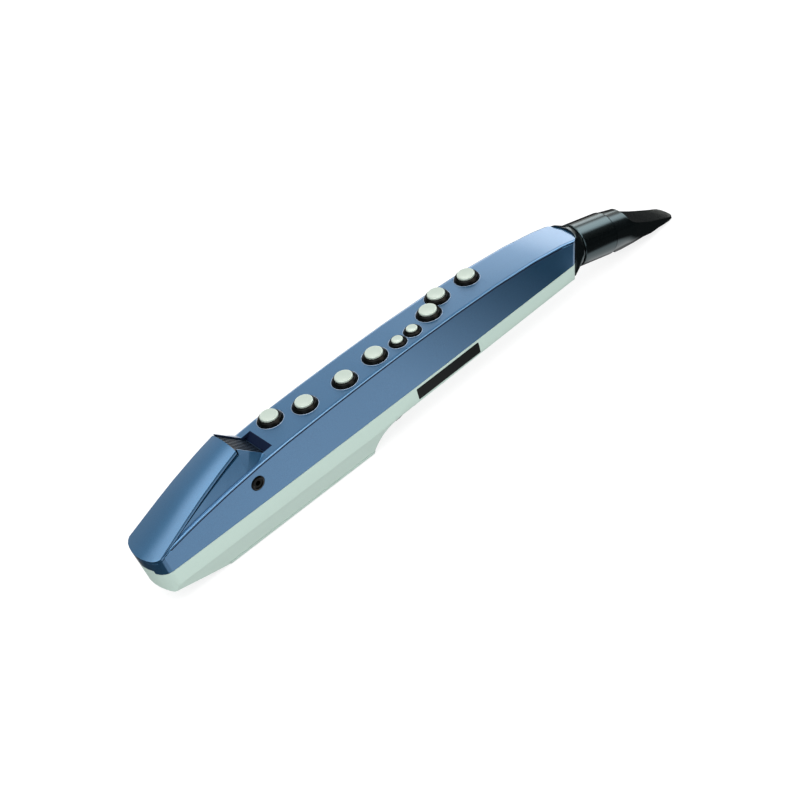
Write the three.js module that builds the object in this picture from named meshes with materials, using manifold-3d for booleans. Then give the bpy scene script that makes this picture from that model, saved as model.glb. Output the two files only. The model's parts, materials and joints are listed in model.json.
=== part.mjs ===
import * as THREE from 'three';
import { mergeVertices } from 'three/addons/utils/BufferGeometryUtils.js';
import Module from 'manifold-3d';

// Digital wind controller. Millimetres, +X towards the mouthpiece, +Z the key side.
// The shells are drawn with the seam between them at z = 0 and the bell corner near x = 0.

// Curves along the body: [x, value]
const topLine = [[-12, 9.4], [0, 12.4], [12, 15.8], [24, 18.4], [36, 20.7], [60, 24.4], [84, 27.2], [108, 29.0],
  [144, 30.2], [180, 30.8], [216, 30.8], [252, 29.8], [288, 27.8], [322, 24.3], [348, 19.8], [366, 15.2], [376, 12.3]];
const planLine = [[-12, 17.0], [0, 17.1], [30, 17.3], [90, 17.4], [150, 17.2], [210, 16.7], [270, 15.95],
  [330, 15.0], [358, 14.5], [376, 14.2]];
const hoodLine = [[-12, 5.6], [-6, 8.5], [0, 11.3], [2.8, 12.5], [10, 15.9], [17, 19.2], [29.2, 24.9],
  [41.7, 30.4], [59, 37.1], [68, 40.2], [76, 42.7], [82, 44.5]];
const bellyLine = [[-12, -9], [4.7, -16.8], [18, -20.6], [31, -24.4], [44.5, -28]];
const neckRest = [[225, -13], [280, -12.3], [320, -11.9], [345, -11.8], [380, -12.2]];
// The ramp from the grip up to the neck, from its own start
const rampShape = [[0, -28.6], [2.5, -24.9], [5.5, -21.4], [9.5, -18], [14.5, -15.5], [20, -14.1], [26.5, -13.4]];

// Shells
const shellWall = 2.2;
const topWall = 2.4;
const sideDepth = 12.8;
const edgeRound = 1.9;
const edgeRise = 0.7;
const waistDrop = 0.4;
const waistWidth = 1;
const waistDepth = 0.6;
const underRound = 1.6;
const bellFloor = 3.1;
const seamGap = 0.3;
const lipInset = 1.3;
const lipTop = 1.6;
const lipRoom = 1.0;
const lipRoomTop = 2.0;
const lipThick = 1.15;
const lipBack = 4.8;
// How far cutting solids run past what they cut
const cleanCut = 1;
const overrun = 20;

// Ends
const bellEndX = -3.9;
const bellEndZ = 12.4;
const bellLeanShare = 0.14;
const bellBulge = 5.8;
const bellCorner = 4;
const mouthEndX = 361.6;
const mouthLeanShare = 0.244;
const mouthBulge = 5.6;
const mouthCorner = 2.4;
const sidesStart = 20;
const sidesEnd = 345;
const bellTongueWide = 9.5;
const bellTongueRise = 2.4;
const bellTongueDeep = 3.4;

// Grip bulge and battery bay
const bulgeStart = 44.5;
const bulgeBottom = 28.6;
const bulgeInset = 3.5;
const coverThick = 2.4;
const coverStart = 46;
const coverPast = 1.4;
const rampPast = 4.3;
const coverRound = 0.6;
const coverGrooveCount = 4;
const coverGrooveStep = 3;
const coverGrooveWide = 1.2;
const coverGrooveDeep = 0.6;
const coverGrooveHalf = 6;
const coverGrooveStart = 60;
const bayStart = 48.4;
const bayHalf = 14.6;
const bayKneeZ = -19.5;
const bayMouthHalf = 12.6;
const bayRoofZ = -10.3;
const bayRoofThick = 1.6;
const batteryRadius = 7.1;
const batteryLength = 50.5;
const batteryTipRadius = 2.75;
const batteryTipLength = 1.2;
const batterySpread = 7.25;
const batteryRest = 0.3;
const contactThick = 0.6;
const contactHalf = 5.4;
const contactBow = 4.85;

// Speaker hood
const hoodHalfStart = 17;
const hoodHalfEnd = 12.4;
const hoodStartX = 2.8;
const crestX = 76;
const lidEdge = 1.1;
const lidCrown = 2.8;
const lidRim = 0.9;
const lidRimWide = 0.4;
const lidUnderCrown = 1.7;
const lidGap = 0.3;
const lidStepsAcross = 8;
const lidOverhangStart = 0.3;
const lidOverhangEnd = 0.4;
const revealIn = 1.4;
const revealStart = 0.2;
const revealEnd = 1.6;
const cheekProud = 0.9;
const hoodFoot = 1.6;
const hoodSink = 5;
const hoodWall = 1.9;
const slopeStartX = 76.3;
const slopeStartZ = 43.7;
const slopeEndX = 96.4;
const slopeEndZ = 24.2;
const wedgeEnd = 93.2;
const pitBackX = 100.6;
const pitHalf = 11.4;
const pitWall = 2;
const grilleHalf = 11.1;
const grilleThick = 1.6;
const slotCount = 8;
const slotWide = 1.75;
const slotStep = 2.82;
const grilleTopRim = 0.9;
const grilleEndRim = 1.3;
const grilleLedge = 24;
const speakerRadius = 8.4;
const speakerStretchShare = 1.2;
const speakerRim = 1.4;
const speakerDeep = 6.5;
const speakerMagnetRadius = 5.4;
const speakerMagnetDeep = 3;
const coneTop = 0.4;
const coneDeep = 2.8;
const coneThick = 0.5;
const coneCapRadius = 2.8;
const coneGap = 0.3;
const speakerSlide = 12.6;

// Keys: [x, y]
const mainKeys = [[114.6, 8], [135.9, -1.4], [165.7, -5.6], [192.2, -4.6], [241.4, -1.6], [256.2, 6.9],
  [282.2, 6.5]];
const smallKeys = [[210.1, -6.8], [223.1, -6.3]];
const keyFit = 0.3;
const keyTravel = 1.2;
const keyHoleDeep = 3.6;
const keyRimWide = 0.55;
const mainKey = { skirt: 8.3, shoulder: 7.4, cap: 6.2, stem: 2.4, up: 4 };
const smallKey = { skirt: 5.8, shoulder: 5, cap: 3.9, stem: 1.8, up: 3 };
const skirtUp = 0.9;
const skirtShoulderUp = 1.5;
const skirtDown = 1.1;
const capRound = 0.9;
const capDish = 0.35;
const capSeat = 0.3;
const stemFloor = 0.3;
const boardTopZ = 20.6;
const boardThick = 1.6;
const boardStart = 105;
const boardEnd = 294;
const boardHalf = 12.2;
const railHalf = 11.3;
const railThick = 1.5;
const matThick = 0.8;
const domeRadius = 3;
const domeTopRadius = 2;
const domeHigh = 1.4;

// Neck and mouthpiece, measured along the neck's own axis
const neckTilt = 15.5;
const neckX = 374.9;
const neckZ = -0.2;
const collarBack = -24;
const collarFoot = -15;
const collarFront = -9.3;
const collarHalf = 13.4;
const collarUp = 14.6;
const collarDown = 17.4;
const collarRim = 1.2;
const collarFitGap = 0.3;
const collarCornerShare = 0.33;
const collarBlendShare = 0.8;
const neckHole = 10.6;
const neckTube = 10.2;
const neckTubeBack = -32;
const spigotRadius = 6.9;
const spigotEnd = 17;
const airBore = 3;
const sleeveInner = 7.2;
const sleeveOuter = 8.5;
const sleeveStart = -8.4;
const sleeveEnd = 14;
const mouthBore = 8.9;
const mouthStart = -8.6;
const barrelRadius = 15.1;
const barrelEdge = 0.5;
const stepAt = 20.4;
const stepWide = 1;
const stepDeep = 0.9;
const bandStep = 0.5;
const throatAt = 35;
const throatStep = 1.7;
const beakStart = 34.6;
const beakEnd = 84.5;
const beakTipHalf = 8.2;
const beakTopLine = [[34.6, 13.6], [35.2, 12.4], [36.8, 9.1], [38.8, 7.3], [42, 5.9], [46, 4.8], [52, 3], [58, 1.4],
  [64, 0.1], [70, -1.1], [76, -2.3], [84.5, -3.5]];
const beakPlan = [[34, 15.2], [38, 13.6], [46, 12.2], [52, 11.7], [58, 11], [64, 10.2], [70, 9.4], [76, 8.7],
  [79.5, 8.2]];
const tableStart = 26.9;
const tableAtStart = -11.1;
const tableAtTip = -4.9;
const tipOpening = 0.8;
const facingStart = 60;
const chamberStart = 24;
const chamberHalf = 5.6;
const chamberLine = [[24, 5], [34, 5], [44, 3.1], [54, 0.3], [64, -2.1], [74, -4], [81.5, -4.5]];
const windowStart = 44;
const windowLip = 1.2;
const reedGap = 0.3;
const reedLine = [[27.4, -14.9, 6.6], [34, -14.4, 6.9], [46, -12.8, 7.1], [60, -10.3, 7.3], [74, -8.1, 7.5],
  [80, -6.9, 7.4], [84, -6, 6.4]];
const reedCrown = 0.8;
const reedTipCrown = 0.15;

// Inside the body
const mainBoardBack = 1;
const mainBoardEnd = 322;
const mainBoardHalf = 10.6;
const mainBoardZ = -4.2;
const postRadius = 2.2;
const postInset = 5;
const postGap = 0.3;
const sensorX = 311;
const sensorHalf = 4;
const sensorHigh = 5.4;
const sensorNozzle = 1.4;
const sensorNozzleHigh = 3;
const tubeOuter = 2.7;
const tubeInner = 1.9;
const tubeOverNozzle = 2.4;
const tubeInNeck = 3;
const tubeEase = 9;
const screwXs = [14, 333];
const screwRows = [11.6, 10.4];
const screwHead = 2.6;
const screwHeadHigh = 1.4;
const screwShank = 1.2;
const screwLength = 13.5;
const screwSeatZ = -6.5;
const screwFit = 0.3;
const screwGrip = 0.1;
const bossRadius = 3.9;
const bossStart = 0.4;
const driveWide = 0.8;
const driveLong = 3.4;
const driveDeep = 0.7;

// Sockets
const jackX = 80.1;
const jackZ = 16.4;
const jackRing = 4.9;
const jackRingOut = 0.5;
const jackBody = 4.2;
const jackDeep = 13;
const jackBore = 1.85;
const jackBoreDeep = 11;
const jackFit = 0.3;
const jackRingSeat = 1.2;
const usbX = 60;
const usbZ = 9.5;
const usbHalf = 4.5;
const usbHalfHigh = 1.9;
const usbDeep = 7;
const usbWall = 0.5;
const usbTongue = 0.5;
const usbRimOut = 0.25;

// Back of the neck
const hookPast = 5;
const hookHalf = 6.5;
const hookLine = [[-4.6, -13.7], [8.4, -13.7], [8.4, -15.2], [5.6, -15.9], [4.8, -17.4], [4, -20], [2.4, -21.8],
  [-0.6, -22.7], [-4.4, -22.9], [-6, -22.2], [-5.2, -21.2], [-1.6, -20.6], [0.4, -19.2], [0.8, -17.2], [-0.4, -15.9],
  [-3.4, -15.3], [-4.6, -15.2]];
const backSeat = 0.3;
const restHalfLong = 6.5;
const restHalfWide = 8;
const restHigh = 2;
const restShares = [[1, 0], [1, 0.5], [0.85, 0.85], [0.6, 1]];
const octaveRadius = 5.6;
const octaveUp = 2.2;
const buttonPast = 25;
const buttonClear = 3.8;
const octaveClear = 4.4;
const restClear = 1.9;
const backButtonRadius = 3.2;
const backButtonUp = 1;
const backTravel = 0.8;
const backRound = 0.7;
const backFlange = 0.9;
const backFlangeThick = 0.8;
const backFlangeGap = 0.3;

// Facets
const barrelFacets = 32;
const roundFacets = 20;
const keyFacets = 16;
const smallFacets = 14;
const screwFacets = 10;
const collarFacets = 16;
const hoseFacets = 8;
const hoseSteps = 7;
const tableSteps = 8;
const reedStepsAcross = 4;
const weldWithin = 1e-4;
const domeFacets = 8;
const edgeSteps = 3;
const endShares = [0, 0.4, 0.75];

// What follows from the sizes above
const cellStart = bayStart + lidGap + contactThick / 2 + contactBow + batteryRest;
const cellStep = batteryLength + postGap;
const bayEnd = cellStart * 2 - bayStart + cellStep + batteryLength;
const coverEnd = bayEnd + coverPast;
const rampLine = rampShape.map(([x, z]) => [bayEnd + rampPast + x, z]);
const neckLine = [rampLine[rampLine.length - 1], ...neckRest];
const hookX = neckLine[0][0] + hookPast;
const buttonStep = (backButtonRadius + backFlange) * 2 + buttonClear;
const backButtonXs = [0, 1, 2].map((i) => hookX + buttonPast + buttonStep * i);
const octaveFromButton = backButtonRadius + octaveRadius + backFlange * 2 + octaveClear;
const octaveFromRest = octaveRadius + restHalfLong + restClear;
const restX = backButtonXs[2] + octaveFromButton + octaveFromRest;
const octaveXs = [restX - octaveFromRest, restX + octaveFromRest];
const mainBoardStart = hookX - mainBoardBack;

// Where sections are drawn along the body
const bodyStations = topLine.map(([x]) => x);
const innerStations = planLine.map(([x]) => x);
const lowerStations = [...bellyLine, [(bulgeStart + rampLine[0][0]) / 2], ...rampLine, ...neckRest].map(([x]) => x);
const hoodRise = hoodLine.slice(0, -2).map(([x]) => x);
const hoodStations = [...hoodRise, slopeStartX, (slopeStartX + wedgeEnd) / 2, wedgeEnd];
const lidStations = [...hoodRise, crestX];

const wasm = await Module();
wasm.setup();

function along(table, x) {
  const last = table.length - 1;
  let i = 0;
  while (i < last - 1 && x > table[i + 1][0]) i++;
  const before = table[Math.max(i - 1, 0)];
  const a = table[i];
  const b = table[i + 1];
  const after = table[Math.min(i + 2, last)];
  const span = b[0] - a[0];
  const t = Math.min(Math.max((x - a[0]) / span, 0), 1);
  const slopeA = (b[1] - before[1]) / (b[0] - before[0]);
  const slopeB = (after[1] - a[1]) / (after[0] - a[0]);
  const t2 = t * t;
  const t3 = t2 * t;
  return (2 * t3 - 3 * t2 + 1) * a[1] + (t3 - 2 * t2 + t) * span * slopeA
    + (3 * t2 - 2 * t3) * b[1] + (t3 - t2) * span * slopeB;
}

function straight(table, x) {
  let i = 0;
  while (i < table.length - 2 && x > table[i + 1][0]) i++;
  const [x0, v0] = table[i];
  const [x1, v1] = table[i + 1];
  return v0 + (v1 - v0) * (x - x0) / (x1 - x0);
}

const halfWidth = (x) => along(planLine, x);
const edgeZ = (x) => along(topLine, x);
const topZ = (x) => edgeZ(x) + edgeRise;

function steps(from, to, count) {
  return Array.from({ length: count + 1 }, (_, i) => from + (to - from) * i / count);
}

function meshSolid(positions, indices) {
  let volume = 0;
  const corner = (i) => new THREE.Vector3().fromArray(positions, indices[i] * 3);
  for (let i = 0; i < indices.length; i += 3) {
    volume += corner(i).dot(corner(i + 1).cross(corner(i + 2)));
  }
  if (volume < 0) {
    for (let i = 0; i < indices.length; i += 3) {
      [indices[i], indices[i + 1]] = [indices[i + 1], indices[i]];
    }
  }
  return new wasm.Manifold(new wasm.Mesh({
    numProp: 3,
    vertProperties: Float32Array.from(positions),
    triVerts: Uint32Array.from(indices),
  }));
}

function fromGeometry(geometry) {
  const bare = geometry.clone();
  bare.deleteAttribute('normal');
  bare.deleteAttribute('uv');
  const welded = mergeVertices(bare, weldWithin);
  const indices = [];
  const index = welded.index.array;
  for (let i = 0; i < index.length; i += 3) {
    const [a, b, c] = [index[i], index[i + 1], index[i + 2]];
    if (a !== b && b !== c && c !== a) indices.push(a, b, c);
  }
  return meshSolid(Array.from(welded.attributes.position.array), indices);
}

// A solid through closed rings of equal length; flat(p) gives the two coordinates that its ends are drawn in
function loft(rings, flat) {
  const count = rings[0].length;
  const positions = rings.flat(2);
  const indices = [];
  for (let r = 0; r < rings.length - 1; r++) {
    for (let i = 0; i < count; i++) {
      const a = r * count + i;
      const b = r * count + (i + 1) % count;
      indices.push(a, b, a + count, b, b + count, a + count);
    }
  }
  const lastRing = (rings.length - 1) * count;
  const capOf = (ring) => THREE.ShapeUtils.triangulateShape(ring.map((p) => new THREE.Vector2(...flat(p))), []);
  for (const [a, b, c] of capOf(rings[0])) indices.push(c, b, a);
  for (const [a, b, c] of capOf(rings[rings.length - 1])) indices.push(lastRing + a, lastRing + b, lastRing + c);
  return meshSolid(positions, windOut(positions, indices, count, rings.length));
}

// Turns the end caps so that every edge is passed once each way
function windOut(positions, indices, count, ringCount) {
  const sideEnd = (ringCount - 1) * count * 6;
  const passed = new Set();
  for (let i = 0; i < sideEnd; i += 3) {
    for (let k = 0; k < 3; k++) passed.add(`${indices[i + k]}>${indices[i + (k + 1) % 3]}`);
  }
  const fixed = indices.slice(0, sideEnd);
  for (const first of [true, false]) {
    const caps = [];
    for (let i = sideEnd; i < indices.length; i += 3) {
      const isFirst = indices[i] < count;
      if (isFirst === first) caps.push(indices.slice(i, i + 3));
    }
    const wrong = caps.some((t) => t.some((a, k) => passed.has(`${a}>${t[(k + 1) % 3]}`)));
    for (const t of caps) fixed.push(...(wrong ? [t[1], t[0], t[2]] : t));
  }
  return fixed;
}

const flatYZ = (p) => [p[1], p[2]];
const flatXY = (p) => [p[0], p[1]];
const flatXZ = (p) => [p[0], p[2]];

const sideways = (outline, y0, y1) => loft([y0, y1].map((y) => outline.map(([x, z]) => [x, y, z])), flatXZ);
const upright = (outline, z0, z1) => loft([z0, z1].map((z) => outline.map(([x, y]) => [x, y, z])), flatXY);
const rectangle = (x0, x1, y0, y1) => [[x0, y0], [x1, y0], [x1, y1], [x0, y1]];
const block = (x0, x1, y0, y1, z0, z1) => upright(rectangle(x0, x1, y0, y1), z0, z1);

// A solid turned round the Z axis from [radius, z] points
function turned(profile, facets) {
  const points = profile.map(([r, z]) => new THREE.Vector2(r, z));
  const geometry = new THREE.LatheGeometry(points, facets);
  geometry.rotateX(Math.PI / 2);
  return fromGeometry(geometry);
}

const disc = (radius, z0, z1, facets) => turned([[0, z0], [radius, z0], [radius, z1], [0, z1]], facets);
const sum = (...solids) => wasm.Manifold.union(solids);
const cut = (solid, ...tools) => tools.reduce((a, b) => a.subtract(b), solid);

// The neck's own frame: z runs along it towards the tip, x points to the key side
const neckAngle = THREE.MathUtils.degToRad(neckTilt);
const neck = new THREE.Group();
neck.name = 'neck';
neck.position.set(neckX, 0, neckZ);
neck.rotation.set(0, Math.PI / 2 + neckAngle, Math.PI, 'YZX');
neck.updateMatrix();
const onNeck = (solid) => solid.transform(neck.matrix.elements);
const intoNeck = (solid) => solid.transform(neck.matrix.clone().invert().elements);

// Plan outline at a height, pulled in by inset; flare widens the sides past the body to trim only the ends
function planRing(z, inset, flare) {
  const bell = bellEndX - bellLeanShare * (z - bellEndZ) + inset;
  const mouth = mouthEndX + mouthLeanShare * z - inset;
  const w0 = halfWidth(0) - inset;
  const w1 = halfWidth(mouthEndX) - inset;
  const half = [];
  const arc = (end, bulge, w, corner, way) => {
    const radius = (w * w + bulge * bulge) / (2 * bulge);
    const at = (y) => end + way * (radius - Math.sqrt(radius * radius - y * y));
    return { at, corner: at(w - corner), side: at(w) + way * corner };
  };
  const a = arc(bell, bellBulge, w0, bellCorner, 1);
  const b = arc(mouth, mouthBulge, w1, mouthCorner, -1);
  for (const share of endShares) half.push([a.at((w0 - bellCorner) * share), (w0 - bellCorner) * share]);
  half.push(...bend([a.corner, w0 - bellCorner], [a.at(w0), w0], [a.side, halfWidth(a.side) - inset]));
  for (const [x] of planLine) {
    if (x > sidesStart && x < sidesEnd) half.push([x, halfWidth(x) - inset + flare]);
  }
  half.push(...bend([b.side, halfWidth(b.side) - inset], [b.at(w1), w1], [b.corner, w1 - mouthCorner]));
  for (const share of endShares.slice().reverse()) {
    half.push([b.at((w1 - mouthCorner) * share), (w1 - mouthCorner) * share]);
  }
  const mirrored = half.slice(1, -1).reverse().map(([x, y]) => [x, -y]);
  return [...half, ...mirrored].map(([x, y]) => [x, y, z]);
}

function bend(p, q, r) {
  return steps(0, 1, edgeSteps).map((t) => [0, 1].map((k) => (1 - t) * (1 - t) * p[k]
    + 2 * t * (1 - t) * q[k] + t * t * r[k]));
}

const planSolid = (z0, z1, inset, flare) => loft([planRing(z0, inset, flare), planRing(z1, inset, flare)], flatXY);

function mirroredSection(x, points) {
  const right = points.map(([y, z]) => [x, y, z]);
  const left = points.slice().reverse().map(([y, z]) => [x, -y, z]);
  return [...right, ...left];
}

// Outside of the upper half: upright sides, a fine groove under a rounded edge, a flat top
function upperOutside() {
  const rings = bodyStations.map((x) => {
    const w = halfWidth(x);
    const edge = edgeZ(x);
    const rounded = steps(0, Math.PI / 2, edgeSteps).map((a) => [w - edgeRound * (1 - Math.cos(a)),
      edge + edgeRise * Math.sin(a)]);
    return mirroredSection(x, [[w, seamGap / 2], [w, edge - waistDrop - waistWidth], [w - waistDepth, edge - waistDrop
      - waistWidth / 2], [w, edge - waistDrop], ...rounded]);
  });
  return loft(rings, flatYZ);
}

function upperInside() {
  const rings = innerStations.map((x) => {
    const w = halfWidth(x) - shellWall;
    const z = edgeZ(x) + edgeRise - topWall;
    return mirroredSection(x, [[w, -cleanCut], [w, z - edgeRound / 2], [w - edgeRound / 2, z]]);
  });
  return loft(rings, flatYZ).intersect(planSolid(-cleanCut, slopeStartZ, shellWall, 0));
}

const hoodHalf = (x) => hoodHalfStart + (hoodHalfEnd - hoodHalfStart) * (x - hoodStartX) / (crestX - hoodStartX);
const upHood = (x, start, end) => start + (end - start) * Math.min(Math.max((x - hoodStartX)
  / (crestX - hoodStartX), 0), 1);
const overhang = (x) => upHood(x, lidOverhangStart, lidOverhangEnd);
const slopeZ = (x) => slopeStartZ + (slopeEndZ - slopeStartZ) * (x - slopeStartX) / (slopeEndX - slopeStartX);
const hoodZ = (x) => (x <= slopeStartX ? along(hoodLine, x) : slopeZ(x));

// Wedge under the lid and beside the louvres, from the body's edge up to the lid
function hoodWedge(inset, sink) {
  const rings = hoodStations.map((x) => {
    const foot = halfWidth(x) - hoodFoot - inset;
    const top = hoodHalf(Math.min(x, crestX)) - overhang(x) - inset;
    const ridge = Math.max(hoodZ(x) + lidCrown, topZ(x) - sink + cleanCut);
    const knee = Math.min(edgeZ(x), ridge - cleanCut / 2);
    return mirroredSection(x, [[foot, topZ(x) - sink], [foot, knee], [top, ridge]]);
  });
  return loft(rings, flatYZ);
}

function lidSection(x) {
  const half = hoodHalf(x);
  const edge = along(hoodLine, x);
  const bow = (y, rise) => rise * (1 - (y / half) * (y / half));
  const ys = steps(-half, half, lidStepsAcross);
  const inner = half - lidRimWide;
  const over = [-half, ...steps(-inner, inner, lidStepsAcross), half].map((y) => [x, y, Math.abs(y) > inner ? edge
    : edge + lidRim + (lidCrown - lidRim) * (1 - (y / inner) * (y / inner))]);
  const under = ys.slice().reverse().map((y) => [x, y, edge - lidEdge + bow(y, lidUnderCrown)]);
  return { over, under };
}

function hoodLid() {
  return loft(lidStations.map((x) => [...lidSection(x).over, ...lidSection(x).under]), flatYZ)
    .intersect(planSolid(-cleanCut, slopeStartZ + lidCrown + cleanCut, 0, cleanCut));
}

// Everything above the lid's seat, which the shell stops short of, with a shadow gap under the lid's edge
function aboveLid(wideAt) {
  const rings = [...lidStations.slice(0, -1), crestX + cleanCut].map((x) => {
    const edge = along(hoodLine, x);
    const wide = wideAt(x);
    const low = edge - lidEdge - lidGap - upHood(x, revealStart, revealEnd);
    const inner = lidSection(x).under.slice(1, -1).map(([sx, sy, sz]) => [sx, sy, sz - lidGap]);
    const step = hoodHalf(x) - revealIn;
    return [[x, wide, edge + overrun], [x, wide, low], [x, step, low], ...inner, [x, -step, low],
      [x, -wide, low], [x, -wide, edge + overrun]];
  });
  return loft(rings, flatYZ);
}

const slopeAngle = Math.atan2(slopeStartZ - slopeEndZ, slopeEndX - slopeStartX);
const slopeLength = Math.hypot(slopeStartZ - slopeEndZ, slopeEndX - slopeStartX);
const slopeWay = [Math.cos(slopeAngle), -Math.sin(slopeAngle)];
const slopeOut = [Math.sin(slopeAngle), Math.cos(slopeAngle)];
// A point at a distance down the louvre slope and out of it
const onSlope = (down, out) => [slopeStartX + slopeWay[0] * down + slopeOut[0] * out,
  slopeStartZ + slopeWay[1] * down + slopeOut[1] * out];

function pitCut() {
  const back = topZ(pitBackX);
  const high = back + overrun;
  return sideways([onSlope(slopeLength, 0), [pitBackX, back], [pitBackX, high], onSlope(0, overrun),
    onSlope(0, 0)], -pitHalf, pitHalf);
}

// Everything in front of the louvre slope, which the cheeks beside it stop at
function aboveSlope() {
  const high = overrun;
  return sideways([onSlope(-high, cheekProud), onSlope(slopeLength, cheekProud), onSlope(slopeLength, high),
    onSlope(-high, high)], -halfWidth(0), halfWidth(0));
}

function grilleCut() {
  return sideways([onSlope(-hoodSink, cleanCut), onSlope(slopeLength, 0), onSlope(slopeLength, -grilleThick - lidGap),
    onSlope(-hoodSink, -grilleThick - lidGap)], -pitHalf, pitHalf);
}

// Slanted wall that closes the pit towards the keys, kept out of the hollow
function pitWallBlock() {
  const [x, z] = onSlope(slopeLength, -grilleThick - pitWall);
  const back = topZ(pitBackX);
  return sideways([[x, z], onSlope(slopeLength, 0), [pitBackX, back], [pitBackX + pitWall * 2, back],
    [x + pitWall * 2, z]], -halfWidth(pitBackX), halfWidth(pitBackX));
}

function keyHole([x, y], radius) {
  const top = topZ(x);
  const rim = radius + keyFit;
  const high = keyRimWide + cleanCut * 2;
  return turned([[0, top - keyHoleDeep], [rim, top - keyHoleDeep], [rim, top - keyRimWide],
    [rim + high, top - keyRimWide + high], [0, top - keyRimWide + high]], keyFacets).translate([x, y, 0]);
}

function topShell() {
  const overWedge = aboveLid((x) => halfWidth(x) + cleanCut);
  const lidRecess = aboveLid((x) => hoodHalf(x) + lidGap);
  const outside = sum(cut(upperOutside(), lidRecess), cut(hoodWedge(0, hoodSink), overWedge, aboveSlope()))
    .intersect(planSolid(-cleanCut, slopeStartZ + hoodSink, 0, cleanCut));
  const rails = [1, -1].map((side) => block(boardStart, boardEnd, Math.min(side * railHalf, side * halfWidth(0)),
    Math.max(side * railHalf, side * halfWidth(0)), boardTopZ - boardThick - postGap - railThick,
    boardTopZ - boardThick - postGap));
  const hollow = cut(upperInside(), pitWallBlock(), ...rails);
  const hoodHollow = hoodWedge(hoodWall, hoodSink * 2).intersect(sideways([[bellCorner, 0],
    onSlope(grilleLedge, -overrun), onSlope(grilleLedge, 0), onSlope(-overrun, 0),
    [bellCorner, slopeStartZ]], -halfWidth(0), halfWidth(0)));
  let shell = cut(outside, hollow, hoodHollow, planSolid(-cleanCut, lipRoomTop, lipRoom, 0), pitCut(), grilleCut());
  for (const key of mainKeys) shell = cut(shell, keyHole(key, mainKey.skirt));
  for (const key of smallKeys) shell = cut(shell, keyHole(key, smallKey.skirt));
  const bosses = cut(sum(...topBosses()).intersect(upperOutside()), lip(lipInset - lipRoom), overWedge);
  const pilots = screwPlaces().map(([x, y]) => disc(screwShank + screwGrip, -cleanCut, screwSeatZ + screwLength
    + screwFit, screwFacets).translate([x, y, 0]));
  shell = cut(sum(shell, bosses), ...pilots);
  return cut(shell, jackHole(), usbHole(), neckPassage(), bellTongue(seamGap));
}

function bellTongue(grow) {
  const wide = bellTongueWide + grow;
  return block(bellEndX - cleanCut, bellEndX + bellTongueDeep + grow, -wide, wide, -cleanCut, bellTongueRise + grow);
}

function neckPassage() {
  return onNeck(disc(neckHole, neckTubeBack, 0, roundFacets));
}

// The underside's height: the bell's slope, the grip, the ramp and the neck
function belly(x) {
  if (x <= bulgeStart) return straight(bellyLine, x);
  if (x < rampLine[0][0]) return -bulgeBottom;
  if (x < rampLine[rampLine.length - 1][0]) return straight(rampLine, x);
  return straight(neckLine, x);
}

function lowerSection(x, z) {
  const w = halfWidth(x);
  const depth = -z;
  const inset = Math.min(bulgeInset * (depth - sideDepth) / (bulgeBottom - sideDepth), bulgeInset);
  const side = Math.min(sideDepth, depth - underRound);
  const foot = w - Math.max(inset, 0);
  return mirroredSection(x, [[w, -seamGap / 2], [w, -side + underRound / 2], [w - underRound / 4, -side],
    [foot - underRound / 4, z + underRound / 2], [foot - underRound, z]]);
}

function lowerOutside() {
  return loft(lowerStations.map((x) => lowerSection(x, belly(x))), flatYZ)
    .intersect(planSolid(-bulgeBottom - cleanCut, cleanCut, 0, cleanCut));
}

// The lower shell's lip, which stands up inside the upper shell's edge
function lip(grow) {
  return cut(planSolid(-lipTop, lipTop + grow, lipInset - grow, 0),
    planSolid(-overrun, overrun, lipInset + lipThick + grow, 0));
}

// The room in the lower shell: shallow over the battery bay, deeper in the bell and along the neck
function lowerRoom() {
  const wide = halfWidth(0);
  const [neckStart] = neckLine[0];
  const [neckEnd] = neckLine[neckLine.length - 1];
  const neckFloor = neckLine.map(([x, z]) => [x, z + shellWall]);
  const bellWide = wide - shellWall - bulgeInset;
  const bellFar = bayStart - shellWall;
  const bellKnee = bulgeStart - shellWall;
  const shallow = block(bellEndX, neckEnd, -wide, wide, bayRoofZ + bayRoofThick, overrun);
  const deepNeck = sideways([...neckFloor, [neckEnd, overrun], [neckStart, overrun]], -wide, wide);
  const deepBell = sideways([[bellEndX, overrun], [bellFar, overrun], [bellFar, bayRoofZ], [bellKnee,
    straight(bellyLine, bellKnee) + shellWall], [bellyLine[1][0] + shellWall, bellyLine[1][1] + bellFloor],
  [bellEndX, bellyLine[0][1]]], -bellWide, bellWide);
  return sum(shallow, deepNeck, deepBell).intersect(planSolid(-bulgeBottom, cleanCut, shellWall, 0));
}

function batteryBay() {
  const mouth = -bulgeBottom + coverThick;
  const section = (x) => mirroredSection(x, [[bayHalf, bayRoofZ], [bayHalf, bayKneeZ], [bayMouthHalf, mouth],
    [bayMouthHalf, -bulgeBottom - cleanCut]]);
  return loft([section(bayStart), section(bayEnd)], flatYZ);
}

function coverSeat() {
  const low = -bulgeBottom - cleanCut;
  return block(coverStart - seamGap, rampLine[1][0] + bulgeBottom, -halfWidth(0), halfWidth(0), low,
    -bulgeBottom + coverThick + seamGap);
}

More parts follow.
